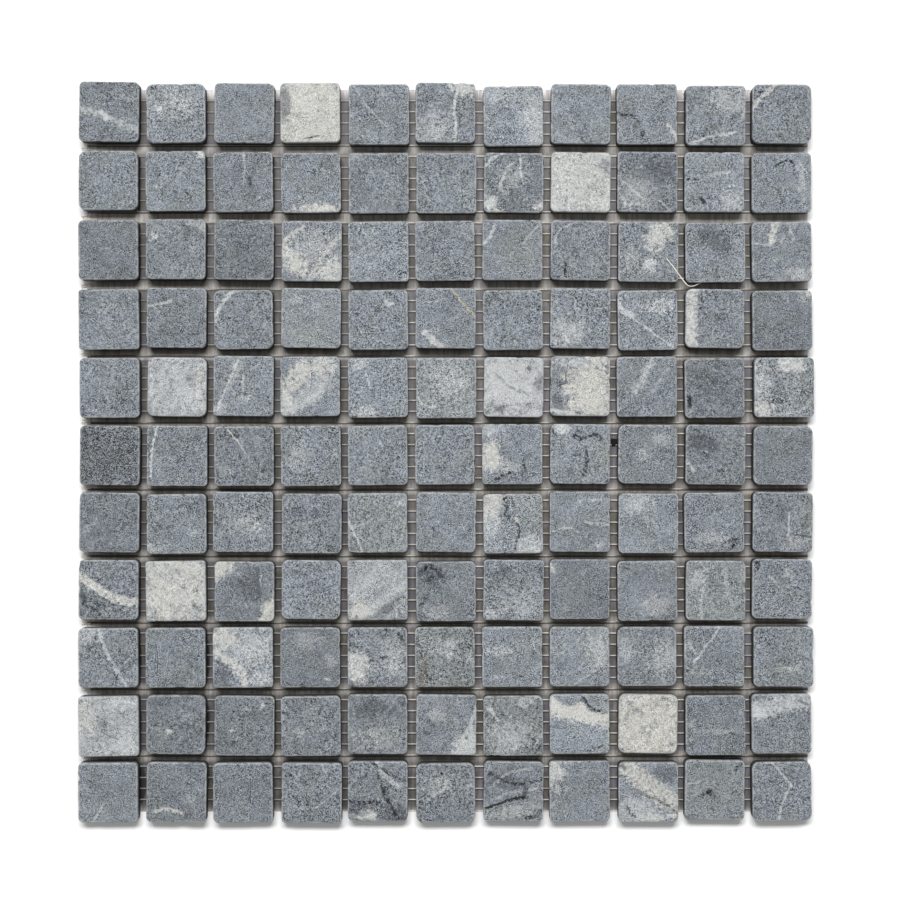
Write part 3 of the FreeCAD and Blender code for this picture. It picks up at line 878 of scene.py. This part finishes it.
def rung_lines(low, high, rungs, joints, half_joint):
    """Grid lines up the sheet that follow the crosswise yarns, which are its rungs.

    Gives the lines' places, which spans are in a joint, the painted shadow on each line and its nearest
    rung.
    """
    lines = [(low, 0.0, 0)]
    for number, rung in enumerate(rungs):
        # Each rung's lines carry the painted shadow along its lower side, away from the key light.
        near_rung = [(rung + off, dirt, number) for off, dirt in RUNG_SHADOW]
        lines += [line for line in near_rung if low < line[0] < high]
    lines.append((high, 0.0, len(rungs) - 1))
    for joint in joints:
        for edge in (joint - half_joint, joint + half_joint):
            near = min(range(len(lines)), key=lambda k: abs(lines[k][0] - edge))
            if abs(lines[near][0] - edge) > LEAST_CELL:
                lines.append((edge, 0.0, lines[near][2]))
    lines.sort()
    ys, dirt, nearest = (np.array(values) for values in zip(*lines))
    return ys, near_any((ys[1:] + ys[:-1]) / 2, joints, half_joint), dirt, nearest


def make_glue_skin(material):
    """A thin skin of dried glue that spans the net's cells in the joints, open under the chips."""
    left, right = (corner.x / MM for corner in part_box("mesh_weft"))
    bottom, top = (corner.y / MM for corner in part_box("mesh_warp"))
    half_joint = HALF_JOINT + UNDER_CHIP
    xs, x_in = grid_lines(left + SKIN_INSET, right - SKIN_INSET, column_joints, half_joint)
    rungs = [place for place, _, _ in strand_lines("mesh_weft", 1)]
    bottom, top = bottom + SKIN_INSET, top - SKIN_INSET
    ys, y_in, rung_shadow, nearest = rung_lines(bottom, top, rungs, row_joints, half_joint)
    cells = [(j, i) for j in range(len(ys) - 1) for i in range(len(xs) - 1) if x_in[i] or y_in[j]]
    number, points, gathered, faces = {}, [], [], []
    for j, i in cells:
        corners = [(j, i), (j, i + 1), (j + 1, i + 1), (j + 1, i)]
        for b, a in corners:
            if (b, a) not in number:
                number[b, a] = len(points)
                points.append((xs[a], ys[b] + wander([xs[a]], nearest[b])[0], 0.0))
                gathered.append(rung_shadow[b])
        faces.append(tuple(number[corner] for corner in corners))
    points = np.array(points)
    points[:, 2] = SKIN_LEVEL + SKIN_LUMP_HEIGHT * roughness_at(points, *SKIN_LUMPS)
    # Black cells: dirt under the crumbs, and painted shadow in the others.
    dark = np.zeros(len(points))
    for middle, reach in DARK_CELLS:
        off = (points[:, :2] - middle) / reach
        dark = np.maximum(dark, np.clip(DARK_CELL_EDGE - np.hypot(off[:, 0], off[:, 1]), 0, 1))
    # The glue material paints the skin lighter in the row joints and crossings: painted light against their
    # shade.
    in_row_joint = near_any(points[:, 1], row_joints, SHADE_REACH)
    crossing = in_row_joint & near_any(points[:, 0], column_joints, SHADE_REACH)
    # Near the net's edges the skin is thin and clean, and the glue material paints it lighter there with
    # painted light.
    plan = points[:, :2]
    from_low = (plan - plan.min(axis=0)) / LOW_MARGINS
    from_high = (plan.max(axis=0) - plan) / HIGH_MARGINS
    thin = np.clip(1 - np.c_[from_low, from_high].min(axis=1), 0, 1)
    attributes = {
        "skin_look": np.c_[dark, gathered, crossing, thin],
        "skin_tone": np.c_[in_row_joint, net_tone(points, 2), np.zeros(len(points))],
    }
    piece = new_mesh("glue_skin", points, faces, attributes, material)
    thick = piece.modifiers.new("thickness", "SOLIDIFY")
    thick.thickness = SKIN_THICKNESS * MM
    thick.offset = 0
    place_piece(piece, "fibre_net")


# Crumbs of dirt that fill one cell of the net

CRUMB_MIDDLE = (69.95, 4.4)
CRUMB_REACH = (1.05, 1.1)
CRUMB_COUNT = 60
CRUMB_SIZES = (0.28, 0.5)
CRUMB_LUMPS = 0.35
# How high a crumb's middle is above the skin, against its size, and how low a crumb may reach.
CRUMB_RISE = 0.8
CRUMB_LOWEST = 0.02


def make_crumbs(material):
    """Black crumbs, and one grey grain, heaped on the skin in one joint."""
    dice = random.Random(RANDOM_SEED)
    crumbs = Gathered()
    for number in range(CRUMB_COUNT):
        size = dice.uniform(*CRUMB_SIZES)
        x = CRUMB_MIDDLE[0] + CRUMB_REACH[0] * dice.uniform(-1, 1)
        y = CRUMB_MIDDLE[1] + CRUMB_REACH[1] * dice.uniform(-1, 1)
        lump = bmesh.new()
        bmesh.ops.create_icosphere(lump, subdivisions=2, radius=size)
        for corner in lump.verts:
            corner.co *= 1 + CRUMB_LUMPS * noise.noise(corner.co * 3 + Vector((number, 0, 0)))
        points = np.array([corner.co[:] for corner in lump.verts])
        points = points + (x, y, SKIN_LEVEL + size * CRUMB_RISE)
        points[:, 2] = np.maximum(points[:, 2], CRUMB_LOWEST)
        faces = [tuple(corner.index for corner in face.verts) for face in lump.faces]
        lump.free()
        is_grey = float(number == 0)
        crumbs.add(points, faces, {"crumb_look": np.tile((is_grey, 0.0, 0.0), (len(points), 1))})
    crumbs.piece("dirt_crumbs", material, "fibre_net")


# A yarn end that has come loose and lies over the corner of a chip

LOOSE_YARN_POINTS = [
    (90.8, 79.9, 8.20), (92.9, 77.4, 8.22), (95.4, 74.0, 8.22), (97.2, 71.6, 8.05), (98.6, 69.9, 7.6),
    (99.9, 68.8, 7.1), (101.9, 68.7, 6.6), (104.2, 69.6, 6.2), (105.9, 70.4, 5.9),
]
LOOSE_YARN_WIDTH = 0.5
LOOSE_YARN_THICKNESS = 0.26
LOOSE_YARN_SIDES = 6
# Its length and the width of one of its sides, for its grain.
LOOSE_YARN_LENGTH = 20
LOOSE_YARN_SIDE = 0.2


def unit(arrows):
    """Arrows of length 1 that point the same way."""
    return arrows / np.linalg.norm(arrows, axis=1)[:, None]


def make_loose_yarn(material):
    """The loose end: a flat yarn, thickest at its middle and frayed thin at its ends."""
    curve = smooth_curve(LOOSE_YARN_POINTS, steps=5)
    along = unit(np.gradient(curve, axis=0))
    across = unit(np.cross(along, (0, 0, 1)))
    up = np.cross(across, along)
    share = np.linspace(0, 1, len(curve))
    girth = 0.55 + 0.45 * np.sin(math.pi * np.clip(share * 1.15 + 0.05, 0, 1))[:, None]
    wide = across * girth * LOOSE_YARN_WIDTH / 2
    tall = up * girth * LOOSE_YARN_THICKNESS / 2
    points, faces = yarn_shape(curve, wide, tall, LOOSE_YARN_SIDES)
    around = np.tile(np.arange(LOOSE_YARN_SIDES) * LOOSE_YARN_SIDE, len(curve))
    grain = np.c_[np.repeat(share * LOOSE_YARN_LENGTH, LOOSE_YARN_SIDES), around, np.zeros(len(points))]
    place_piece(new_mesh("loose_yarn", points, faces, {"yarn_point": grain}, material), "fibre_net")


# Short ends of crosswise yarn that fray out of the net's left edge, between the rows of chips

FRAYED_PER_JOINT = 8
FRAYED_WIDTH = 0.3
FRAYED_THICKNESS = 0.12
FRAYED_SIDES = 5
FRAYED_POINTS = 6
# How far inside the net's edge they start and how high, how far short of the sheet's side they end,
# how far they are spread over the joint, how far they fan out and how far they fall.
FRAYED_START = 1.6
FRAYED_LEVEL = 0.5
FRAYED_SHORTFALL = (0.1, 0.6)
FRAYED_SPREAD = 1.1
FRAYED_FAN = 0.6
FRAYED_FALL = (0.1, 0.35)


def make_frayed_ends(material):
    """Thin wisps, fanned out in each row joint, from on top of the net down towards the floor."""
    dice = random.Random(RANDOM_SEED + 50)
    net_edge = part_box("mesh_weft")[0].x / MM
    share = np.linspace(0, 1, FRAYED_POINTS)
    ends = Gathered()
    for joint in row_joints:
        for _ in range(FRAYED_PER_JOINT):
            tip = cad_low.x / MM + dice.uniform(*FRAYED_SHORTFALL)
            x = np.linspace(net_edge + FRAYED_START, tip, FRAYED_POINTS)
            y = joint + dice.uniform(-FRAYED_SPREAD, FRAYED_SPREAD)
            y = y + dice.uniform(-FRAYED_FAN, FRAYED_FAN) * share ** 2
            z = FRAYED_LEVEL - dice.uniform(*FRAYED_FALL) * share
            seed = (ends.count + FRAYED_SIDES * FRAYED_POINTS) * FRAYED_GRAIN_STEP
            ends.add(*straight_yarn(np.c_[x, y, z], 1, FRAYED_WIDTH, FRAYED_THICKNESS, FRAYED_SIDES, seed))
    ends.piece("frayed_ends", material, "fibre_net")


# Materials

class Value:
    """A number or colour that a material works out at each point, and that takes part in sums."""

    def __init__(self, paint, socket):
        self.paint = paint
        self.socket = socket

    def __add__(self, other):
        return self.paint.calc("ADD", self, other)

    def __sub__(self, other):
        return self.paint.calc("SUBTRACT", self, other)

    def __mul__(self, other):
        return self.paint.calc("MULTIPLY", self, other)

    def __truediv__(self, other):
        return self.paint.calc("DIVIDE", self, other)

    def __rsub__(self, other):
        return self.paint.calc("SUBTRACT", other, self)

    def __abs__(self):
        return self.paint.calc("ABSOLUTE", self)


class Paint:
    """A material and its shader, with short ways to build what they read."""

    def __init__(self, name):
        self.material = bpy.data.materials.new(name)
        self.material.use_nodes = True
        self.tree = self.material.node_tree
        self.tree.nodes.clear()
        self.shader = self.node("ShaderNodeBsdfPrincipled")
        self.node("ShaderNodeOutputMaterial", {"Surface": Value(self, self.shader.outputs[0])})

    def put(self, socket, value):
        """Give a socket a plain value, or join it to one that is worked out."""
        if isinstance(value, Value):
            self.tree.links.new(value.socket, socket)
        else:
            socket.default_value = value

    def set(self, **values):
        """Set the shader's own sockets, with _ for each space in their names."""
        for name, value in values.items():
            self.put(self.shader.inputs[name.replace("_", " ")], value)

    def node(self, kind, values=None, **settings):
        """A node of this kind, with values for its inputs."""
        made = self.tree.nodes.new(kind)
        for name, value in settings.items():
            setattr(made, name, value)
        for place, value in (values or {}).items():
            self.put(made.inputs[place], value)
        return made

    def calc(self, operation, *values):
        """The result of a sum on numbers."""
        made = self.node("ShaderNodeMath", dict(enumerate(values)), operation=operation)
        return Value(self, made.outputs[0])

    def most(self, one, other):
        """The greater of two numbers."""
        return self.calc("MAXIMUM", one, other)

    def grain(self, point, scale, detail=2.0, roughness=0.5, distortion=0.0):
        """Noise of 0 to 1 at a point."""
        values = {"Vector": point, "Scale": scale, "Detail": detail, "Roughness": roughness,
                  "Distortion": distortion}
        return Value(self, self.node("ShaderNodeTexNoise", values).outputs["Fac"])

    def step(self, value, low, high, to_low=0.0, to_high=1.0):
        """A smooth step from to_low to to_high while value goes from low to high."""
        values = {"Value": value, "From Min": low, "From Max": high, "To Min": to_low, "To Max": to_high}
        made = self.node("ShaderNodeMapRange", values, interpolation_type="SMOOTHSTEP")
        return Value(self, made.outputs["Result"])

    def mixed(self, amount, below, above):
        """One colour over another."""
        made = self.node("ShaderNodeMix", {}, data_type="RGBA")
        for place, value in ((0, amount), (6, below), (7, above)):
            self.put(made.inputs[place], value)
        return Value(self, made.outputs[2])

    def lit(self, tone, factor):
        """A colour made lighter or darker by a factor, or a place scaled by it."""
        values = {0: tone if isinstance(tone, Value) else tone[:3], "Scale": factor}
        return Value(self, self.node("ShaderNodeVectorMath", values, operation="SCALE").outputs["Vector"])

    def stretched(self, point, scale):
        """A place scaled by its own factor along each axis."""
        return Value(self, self.node("ShaderNodeMapping", {"Vector": point, "Scale": scale}).outputs[0])

    def object_point(self):
        """The place on the piece, in mm."""
        return self.lit(Value(self, self.node("ShaderNodeTexCoord").outputs["Object"]), 1 / MM)

    def place_attribute(self, name):
        """A mesh attribute that is a place."""
        return Value(self, self.node("ShaderNodeAttribute", attribute_name=name).outputs["Vector"])

    def attribute(self, name):
        """The four numbers of a mesh attribute."""
        read = self.node("ShaderNodeAttribute", attribute_name=name)
        parts = self.node("ShaderNodeSeparateColor", {0: Value(self, read.outputs["Color"])})
        return [Value(self, socket) for socket in (*parts.outputs[:3], read.outputs["Alpha"])]

    def bump(self, height, strength, distance):
        """Fine relief, where height 1 stands out by a distance in mm."""
        values = {"Strength": strength, "Distance": distance * MM, "Height": height}
        self.set(Normal=Value(self, self.node("ShaderNodeBump", values).outputs[0]))


def colour(red, green, blue):
    """A colour from the 0 to 255 numbers that a screen shows."""
    screen = np.array([red, green, blue]) / 255
    linear = np.where(screen > 0.04045, ((screen + 0.055) / 1.055) ** 2.4, screen / 12.92)
    return (*linear.tolist(), 1.0)


STONE_GREY = colour(126, 132, 139)
STONE_PALE_COOL = colour(188, 192, 195)
STONE_PALE_WARM = colour(201, 199, 190)
STONE_ORANGE = colour(198, 184, 152)
STONE_LIGHT = colour(170, 173, 175)
STONE_RUBBED = colour(186, 188, 189)
STONE_DARK = colour(84, 88, 95)
STONE_PIT = colour(16, 17, 19)
STONE_GREEN = colour(127, 132, 132)
STONE_BROWN = colour(110, 92, 70)
GLUE_HAZE = colour(186, 182, 170)
GLUE_GREY = colour(90, 88, 96)
GLUE_OLIVE = colour(80, 76, 64)
GLUE_CLOUDY = colour(105, 102, 104)
GLUE_LIT_IN_ROW_JOINT = colour(158, 152, 141)
GLUE_LIT_AT_CROSSING = colour(156, 152, 150)
GLUE_THIN_AND_LIT = colour(226, 222, 220)
DIRT_BROWN = colour(80, 66, 44)
SHADOW_UNDER_YARN = colour(22, 20, 18)
BLACK_DIRT_AND_SHADOW = colour(8, 8, 8)
CRUMB_BLACK = colour(6, 6, 6)
CRUMB_DUSTY = colour(26, 24, 22)
CRUMB_GREY = colour(150, 148, 145)
YARN_SHADED = colour(214, 208, 194)
YARN_WHITE = colour(250, 246, 236)
YARN_DUST = colour(170, 156, 128)
FLOOR_PALE = colour(243, 243, 243)


def marked_line(paint, name, warp, break_up, softness, faintest):
    """How strongly a vein or crack shows here, and how warm or solid it is. faintest is its least share."""
    side, half_width, strength, warm_or_solid = paint.attribute(name)
    share = abs(side + warp) / (half_width * break_up)
    near = paint.step(share, 1.0 + softness, 1.0 - softness)
    patchy = paint.step(break_up, 0.6, 1.3, faintest, 1.0)
    return near * (strength * patchy), warm_or_solid


def make_stone():
    """Tumbled marble: speckled blue-grey, with pale veins and patches, cracks and pits."""
    paint = Paint("tumbled_marble")
    grain, step, mixed, lit = paint.grain, paint.step, paint.mixed, paint.lit
    point = paint.place_attribute("stone_point")
    shade, grain_strength, _, _ = paint.attribute("look")
    rim, back, foot, _ = paint.attribute("zones")
    in_pale, in_light, in_dark, in_green = paint.attribute("patches")
    warmth, in_brown, _, _ = paint.attribute("warmth_and_brown")

    # The speckled ground, from fine to broad, and a green tint here and there.
    speckle = grain(point, 2.2, 1.0, 0.6)
    flecks = grain(point, 0.8, 2.0, 0.65)
    mottle = grain(point, 0.28, 3.0, 0.6, 0.4)
    clouds = grain(point, 0.09, 2.0, 0.5, 0.6)
    evenness = step(grain(point, 0.13, 2.0), 0.38, 0.62, 0.8, 1.15)
    fleck_drift = flecks - 0.5
    total = ((speckle - 0.5) * 4.6 + fleck_drift * 1.8) * (grain_strength * evenness)
    total = total + (mottle - 0.5) * 0.65 + (clouds - 0.5) * 0.7
    brightness = (total + 1.0) * shade
    tint = step(grain(point, 0.1, 2.0, 0.5, 0.8), 0.45, 0.62, 0.0, 0.45)
    base = lit(mixed(tint, STONE_GREY, STONE_GREEN), brightness)

    # Patches, ragged at their edges.
    fade = (grain(point, 0.35, 4.0, 0.65, 0.5) - 0.5) * 2.4 + fleck_drift * 0.6
    dark_amount = step(in_dark + fade, -0.1, 0.45, 0.0, 0.7)
    softer = (total * 0.7 + 1.0) * shade
    base = mixed(step(in_green + fade, -0.3, 0.5, 0.0, 0.8), base, lit(STONE_GREEN, brightness))
    base = mixed(step(in_light + fade, -0.2, 0.5, 0.0, 0.65), base, lit(STONE_LIGHT, softer))
    base = mixed(dark_amount, base, lit(STONE_DARK, brightness))
    smudge = step(grain(point, 0.2, 4.0, 0.65, 1.2), 0.34, 0.5, 0.5, 1.0) * (1.0 - dark_amount)
    pale_amount = step(in_pale + fade, -0.15, 0.5, 0.0, 0.95) * smudge
    pale_tone = mixed(warmth, STONE_PALE_COOL, STONE_PALE_WARM)
    base = mixed(pale_amount, base, lit(pale_tone, total * 0.45 + 1.0))
    base = mixed(step(in_brown + fade, 0.0, 0.5, 0.0, 0.8), base, STONE_BROWN)

    # Veins, which wander and thin out, and then cracks.
    warp = (grain(point, 0.4, 3.0, 0.6) - 0.5) * 2.1
    break_up = flecks * 1.8 + 0.1
    vein_light = total * 0.26 + 1.1
    for number in range(LINE_CHANNELS["vein"]):
        amount, warm = marked_line(paint, f"vein_{number + 1}", warp, break_up, 0.45, 0.4)
        tone = mixed(warm, STONE_PALE_COOL, STONE_PALE_WARM)
        tone = mixed(step(warm, 0.9, 1.1), tone, STONE_ORANGE)
        base = mixed(amount, base, lit(tone, vein_light))
    specks = step(grain(point, 0.75, 2.0, 0.6, 0.3), 0.42, 0.56, 0.12, 1.0)
    depth = 0.0
    for number in range(LINE_CHANNELS["crack"]):
        amount, solid = marked_line(paint, f"crack_{number + 1}", warp, break_up, 0.28, 0.75)
        amount = amount * paint.most(specks, solid)
        base = mixed(amount, base, STONE_PIT)
        depth = paint.most(amount, depth)

    # Hair-thin pale and dark lines that wander over some of the chips.
    for scale, low, tone, strongest in ((0.085, 0.5, STONE_PALE_COOL, 0.45), (0.12, 0.52, STONE_PIT, 0.55)):
        ridge = abs(grain(point, scale, 3.0, 0.55, 1.0) - 0.5)
        here = step(grain(point, scale * 0.8, 1.0), low, low + 0.1)
        base = mixed(step(ridge, 0.012, 0.002, 0.0, strongest) * here, base, tone)

    # Small dark pits and bright crystals all over.
    pits = step(grain(point, 0.95, 1.0, 0.5), 0.27, 0.20, 0.0, 0.5)
    base = mixed(pits, base, STONE_DARK)
    crystals = step(grain(point, 1.15, 1.0, 0.5, 0.3), 0.66, 0.76, 0.0, 0.65)
    base = mixed(crystals, base, STONE_PALE_COOL)

    # Painted shade darkens the sides towards the foot, and the back as much; the worn rim is lighter,
    # and the back is hazed with glue.
    base = lit(base, step(foot, 0.0, 0.55, 0.8, 0.22))
    rubbed = step(grain(point, 0.45, 3.0, 0.6), 0.35, 0.62, 0.1, 0.6)
    base = mixed(step(rim, 0.1, 0.75) * rubbed, base, STONE_RUBBED)
    haze = step(grain(point, 0.15, 3.0, 0.6), 0.4, 0.6, 0.15, 0.75)
    base = mixed(back * haze, base, GLUE_HAZE)

    paint.set(Base_Color=base, Roughness=step(speckle, 0.2, 0.8, 0.72, 0.92), Specular_IOR_Level=0.3)
    paint.bump(flecks * 0.7 + speckle * 0.5 - paint.most(pits, depth) * 0.7, 0.6, 0.12)
    return paint.material


def make_yarn():
    """Coated glass-fibre yarn: off-white, with fine filaments and dust, and painted shade in the row joints
    and at the left.
    """
    paint = Paint("fibre_net")
    point = paint.place_attribute("yarn_point")
    yarn_shade, painted_shade_across, _, _ = paint.attribute("yarn_shade")
    filaments = paint.grain(paint.stretched(point, (0.35, 9.0, 1.0)), 1.0, 2.0, 0.5)
    dust = paint.grain(point, 0.3, 3.0, 0.6)
    base = paint.mixed(paint.step(filaments, 0.3, 0.7), YARN_SHADED, YARN_WHITE)
    base = paint.mixed(paint.step(dust, 0.45, 0.65, 0.0, 0.5), base, YARN_DUST)
    # Painted shade: darker in the row joints, and darkest towards the left.
    base = paint.lit(base, paint.step(yarn_shade, 0.0, 1.0, 1.0, 0.3))
    base = paint.lit(base, 1.0 - painted_shade_across)
    paint.set(Base_Color=base, Roughness=0.55, Specular_IOR_Level=0.4)
    paint.bump(filaments, 0.5, 0.05)
    return paint.material


def make_glue():
    """Dried glue: a thin dull skin, grey to olive, brown where dirt has got into it, black under the
    crumbs, with painted shadow and painted light.
    """
    paint = Paint("dried_glue")
    grain, step, mixed, lit = paint.grain, paint.step, paint.mixed, paint.lit
    point = paint.object_point()
    dark, rung_shadow, crossing, thin = paint.attribute("skin_look")
    in_row_joint, tone, _, _ = paint.attribute("skin_tone")
    cell = grain(point, 0.22, 3.0, 0.65)
    base = mixed(step(grain(point, 0.035, 3.0, 0.6), 0.42, 0.58), GLUE_GREY, GLUE_OLIVE)
    # Painted light and shade across the sheet, darkest at the left.
    base = lit(mixed(step(cell, 0.35, 0.7), base, GLUE_CLOUDY), tone)
    # Lighter skin in the row joints and crossings: painted light against the shade they lie in.
    base = mixed(in_row_joint * 0.9, base, GLUE_LIT_IN_ROW_JOINT)
    base = mixed(crossing * 0.9, base, GLUE_LIT_AT_CROSSING)
    # Lighter near the net's edges: a thin, clean skin, and painted light that falls in there.
    base = mixed(step(thin, 0.1, 1.0, 0.0, 0.9), base, GLUE_THIN_AND_LIT)
    streaks = grain(paint.stretched(point, (0.7, 0.06, 1.0)), 1.0, 2.0, 0.6)
    base = lit(base, step(streaks, 0.35, 0.65, 0.7, 1.15))
    base = mixed(step(grain(point, 0.5, 3.0, 0.7), 0.58, 0.75, 0.0, 0.7), base, DIRT_BROWN)
    # Painted shadow along the lower side of each crosswise yarn.
    base = mixed(rung_shadow * 0.92, base, SHADOW_UNDER_YARN)
    # Black: dirt under the crumbs, and painted shadow in the other dark cells.
    base = mixed(step(dark, 0.25, 0.5), base, BLACK_DIRT_AND_SHADOW)
    paint.set(Base_Color=base, Roughness=0.5)
    paint.bump(cell, 0.5, 0.1)
    return paint.material


def make_dirt():
    """Black crumbs of dirt."""
    paint = Paint("dirt")
    fine = paint.grain(paint.object_point(), 3.0, 2.0, 0.6)
    is_grey, _, _, _ = paint.attribute("crumb_look")
    base = paint.mixed(paint.step(fine, 0.35, 0.7), CRUMB_BLACK, CRUMB_DUSTY)
    paint.set(Base_Color=paint.mixed(is_grey, base, CRUMB_GREY), Roughness=0.85)
    return paint.material


def make_floor_paint():
    """A plain pale floor."""
    paint = Paint("pale_floor")
    paint.set(Base_Color=FLOOR_PALE, Roughness=0.9, Specular_IOR_Level=0.1)
    return paint.material


# Floor, light and camera

FLOOR_SIZE = 6000.0
FLOOR_LEVEL = -0.01
# The photo's width in pixels, and how many of them a millimetre takes up at the chips' faces.
PHOTO_SIZE = 900
PHOTO_SCALE = 2.433
CAMERA_HEIGHT = 900.0
CAMERA_OFF_CENTRE = (1.8, 1.17)
SENSOR = 36.0


def make_floor():
    """The level floor that the sheet lies on."""
    half = FLOOR_SIZE / 2
    plan = ((-half, -half), (half, -half), (half, half), (-half, half))
    corners = np.array([(x, y, FLOOR_LEVEL) for x, y in plan])
    new_mesh("floor", corners, [(0, 1, 2, 3)], {}, make_floor_paint(), smooth=False)


def make_light(name, elevation, azimuth, far, width, depth, power):
    """A soft light, aimed at the sheet, in degrees and metres. Azimuth 0 is beyond the top row."""
    data = bpy.data.lights.new(name, "AREA")
    data.shape = "RECTANGLE"
    data.size = width
    data.size_y = depth
    data.energy = power
    lamp = bpy.data.objects.new(name, data)
    bpy.context.collection.objects.link(lamp)
    up, round_it = math.radians(elevation), math.radians(azimuth)
    towards = Vector((math.sin(round_it) * math.cos(up), math.cos(round_it) * math.cos(up), math.sin(up)))
    lamp.location = towards * far
    lamp.rotation_euler = (-towards).to_track_quat("-Z", "Y").to_euler()


def make_world(strength):
    """Even light from all round."""
    world = bpy.data.worlds.new("studio")
    world.use_nodes = True
    background = world.node_tree.nodes["Background"]
    background.inputs["Color"].default_value = (1.0, 1.0, 1.0, 1.0)
    background.inputs["Strength"].default_value = strength
    bpy.context.scene.world = world


def make_camera():
    """Straight down on the sheet, as far off and as wide as the photo shows it."""
    data = bpy.data.cameras.new("camera")
    seen = PHOTO_SIZE / PHOTO_SCALE
    data.sensor_width = SENSOR
    data.lens = SENSOR * (CAMERA_HEIGHT - cad_high.z / MM) / seen
    data.clip_start = 0.01
    data.clip_end = 100.0
    camera = bpy.data.objects.new("camera", data)
    bpy.context.collection.objects.link(camera)
    camera.location = Vector((*CAMERA_OFF_CENTRE, CAMERA_HEIGHT)) * MM
    bpy.context.scene.camera = camera


stone = make_stone()
yarn = make_yarn()
template = chip_template()
for row in range(COUNT):
    make_chip_row(template, row, stone)
make_weft(yarn)
make_warp(yarn)
make_glue_skin(make_glue())
make_crumbs(make_dirt())
make_loose_yarn(yarn)
make_frayed_ends(yarn)
make_floor()
make_light("key", elevation=66, azimuth=-6, far=2.6, width=1.3, depth=0.5, power=70.0)
make_world(strength=0.42)
make_camera()
bpy.context.scene.view_settings.view_transform = "Standard"
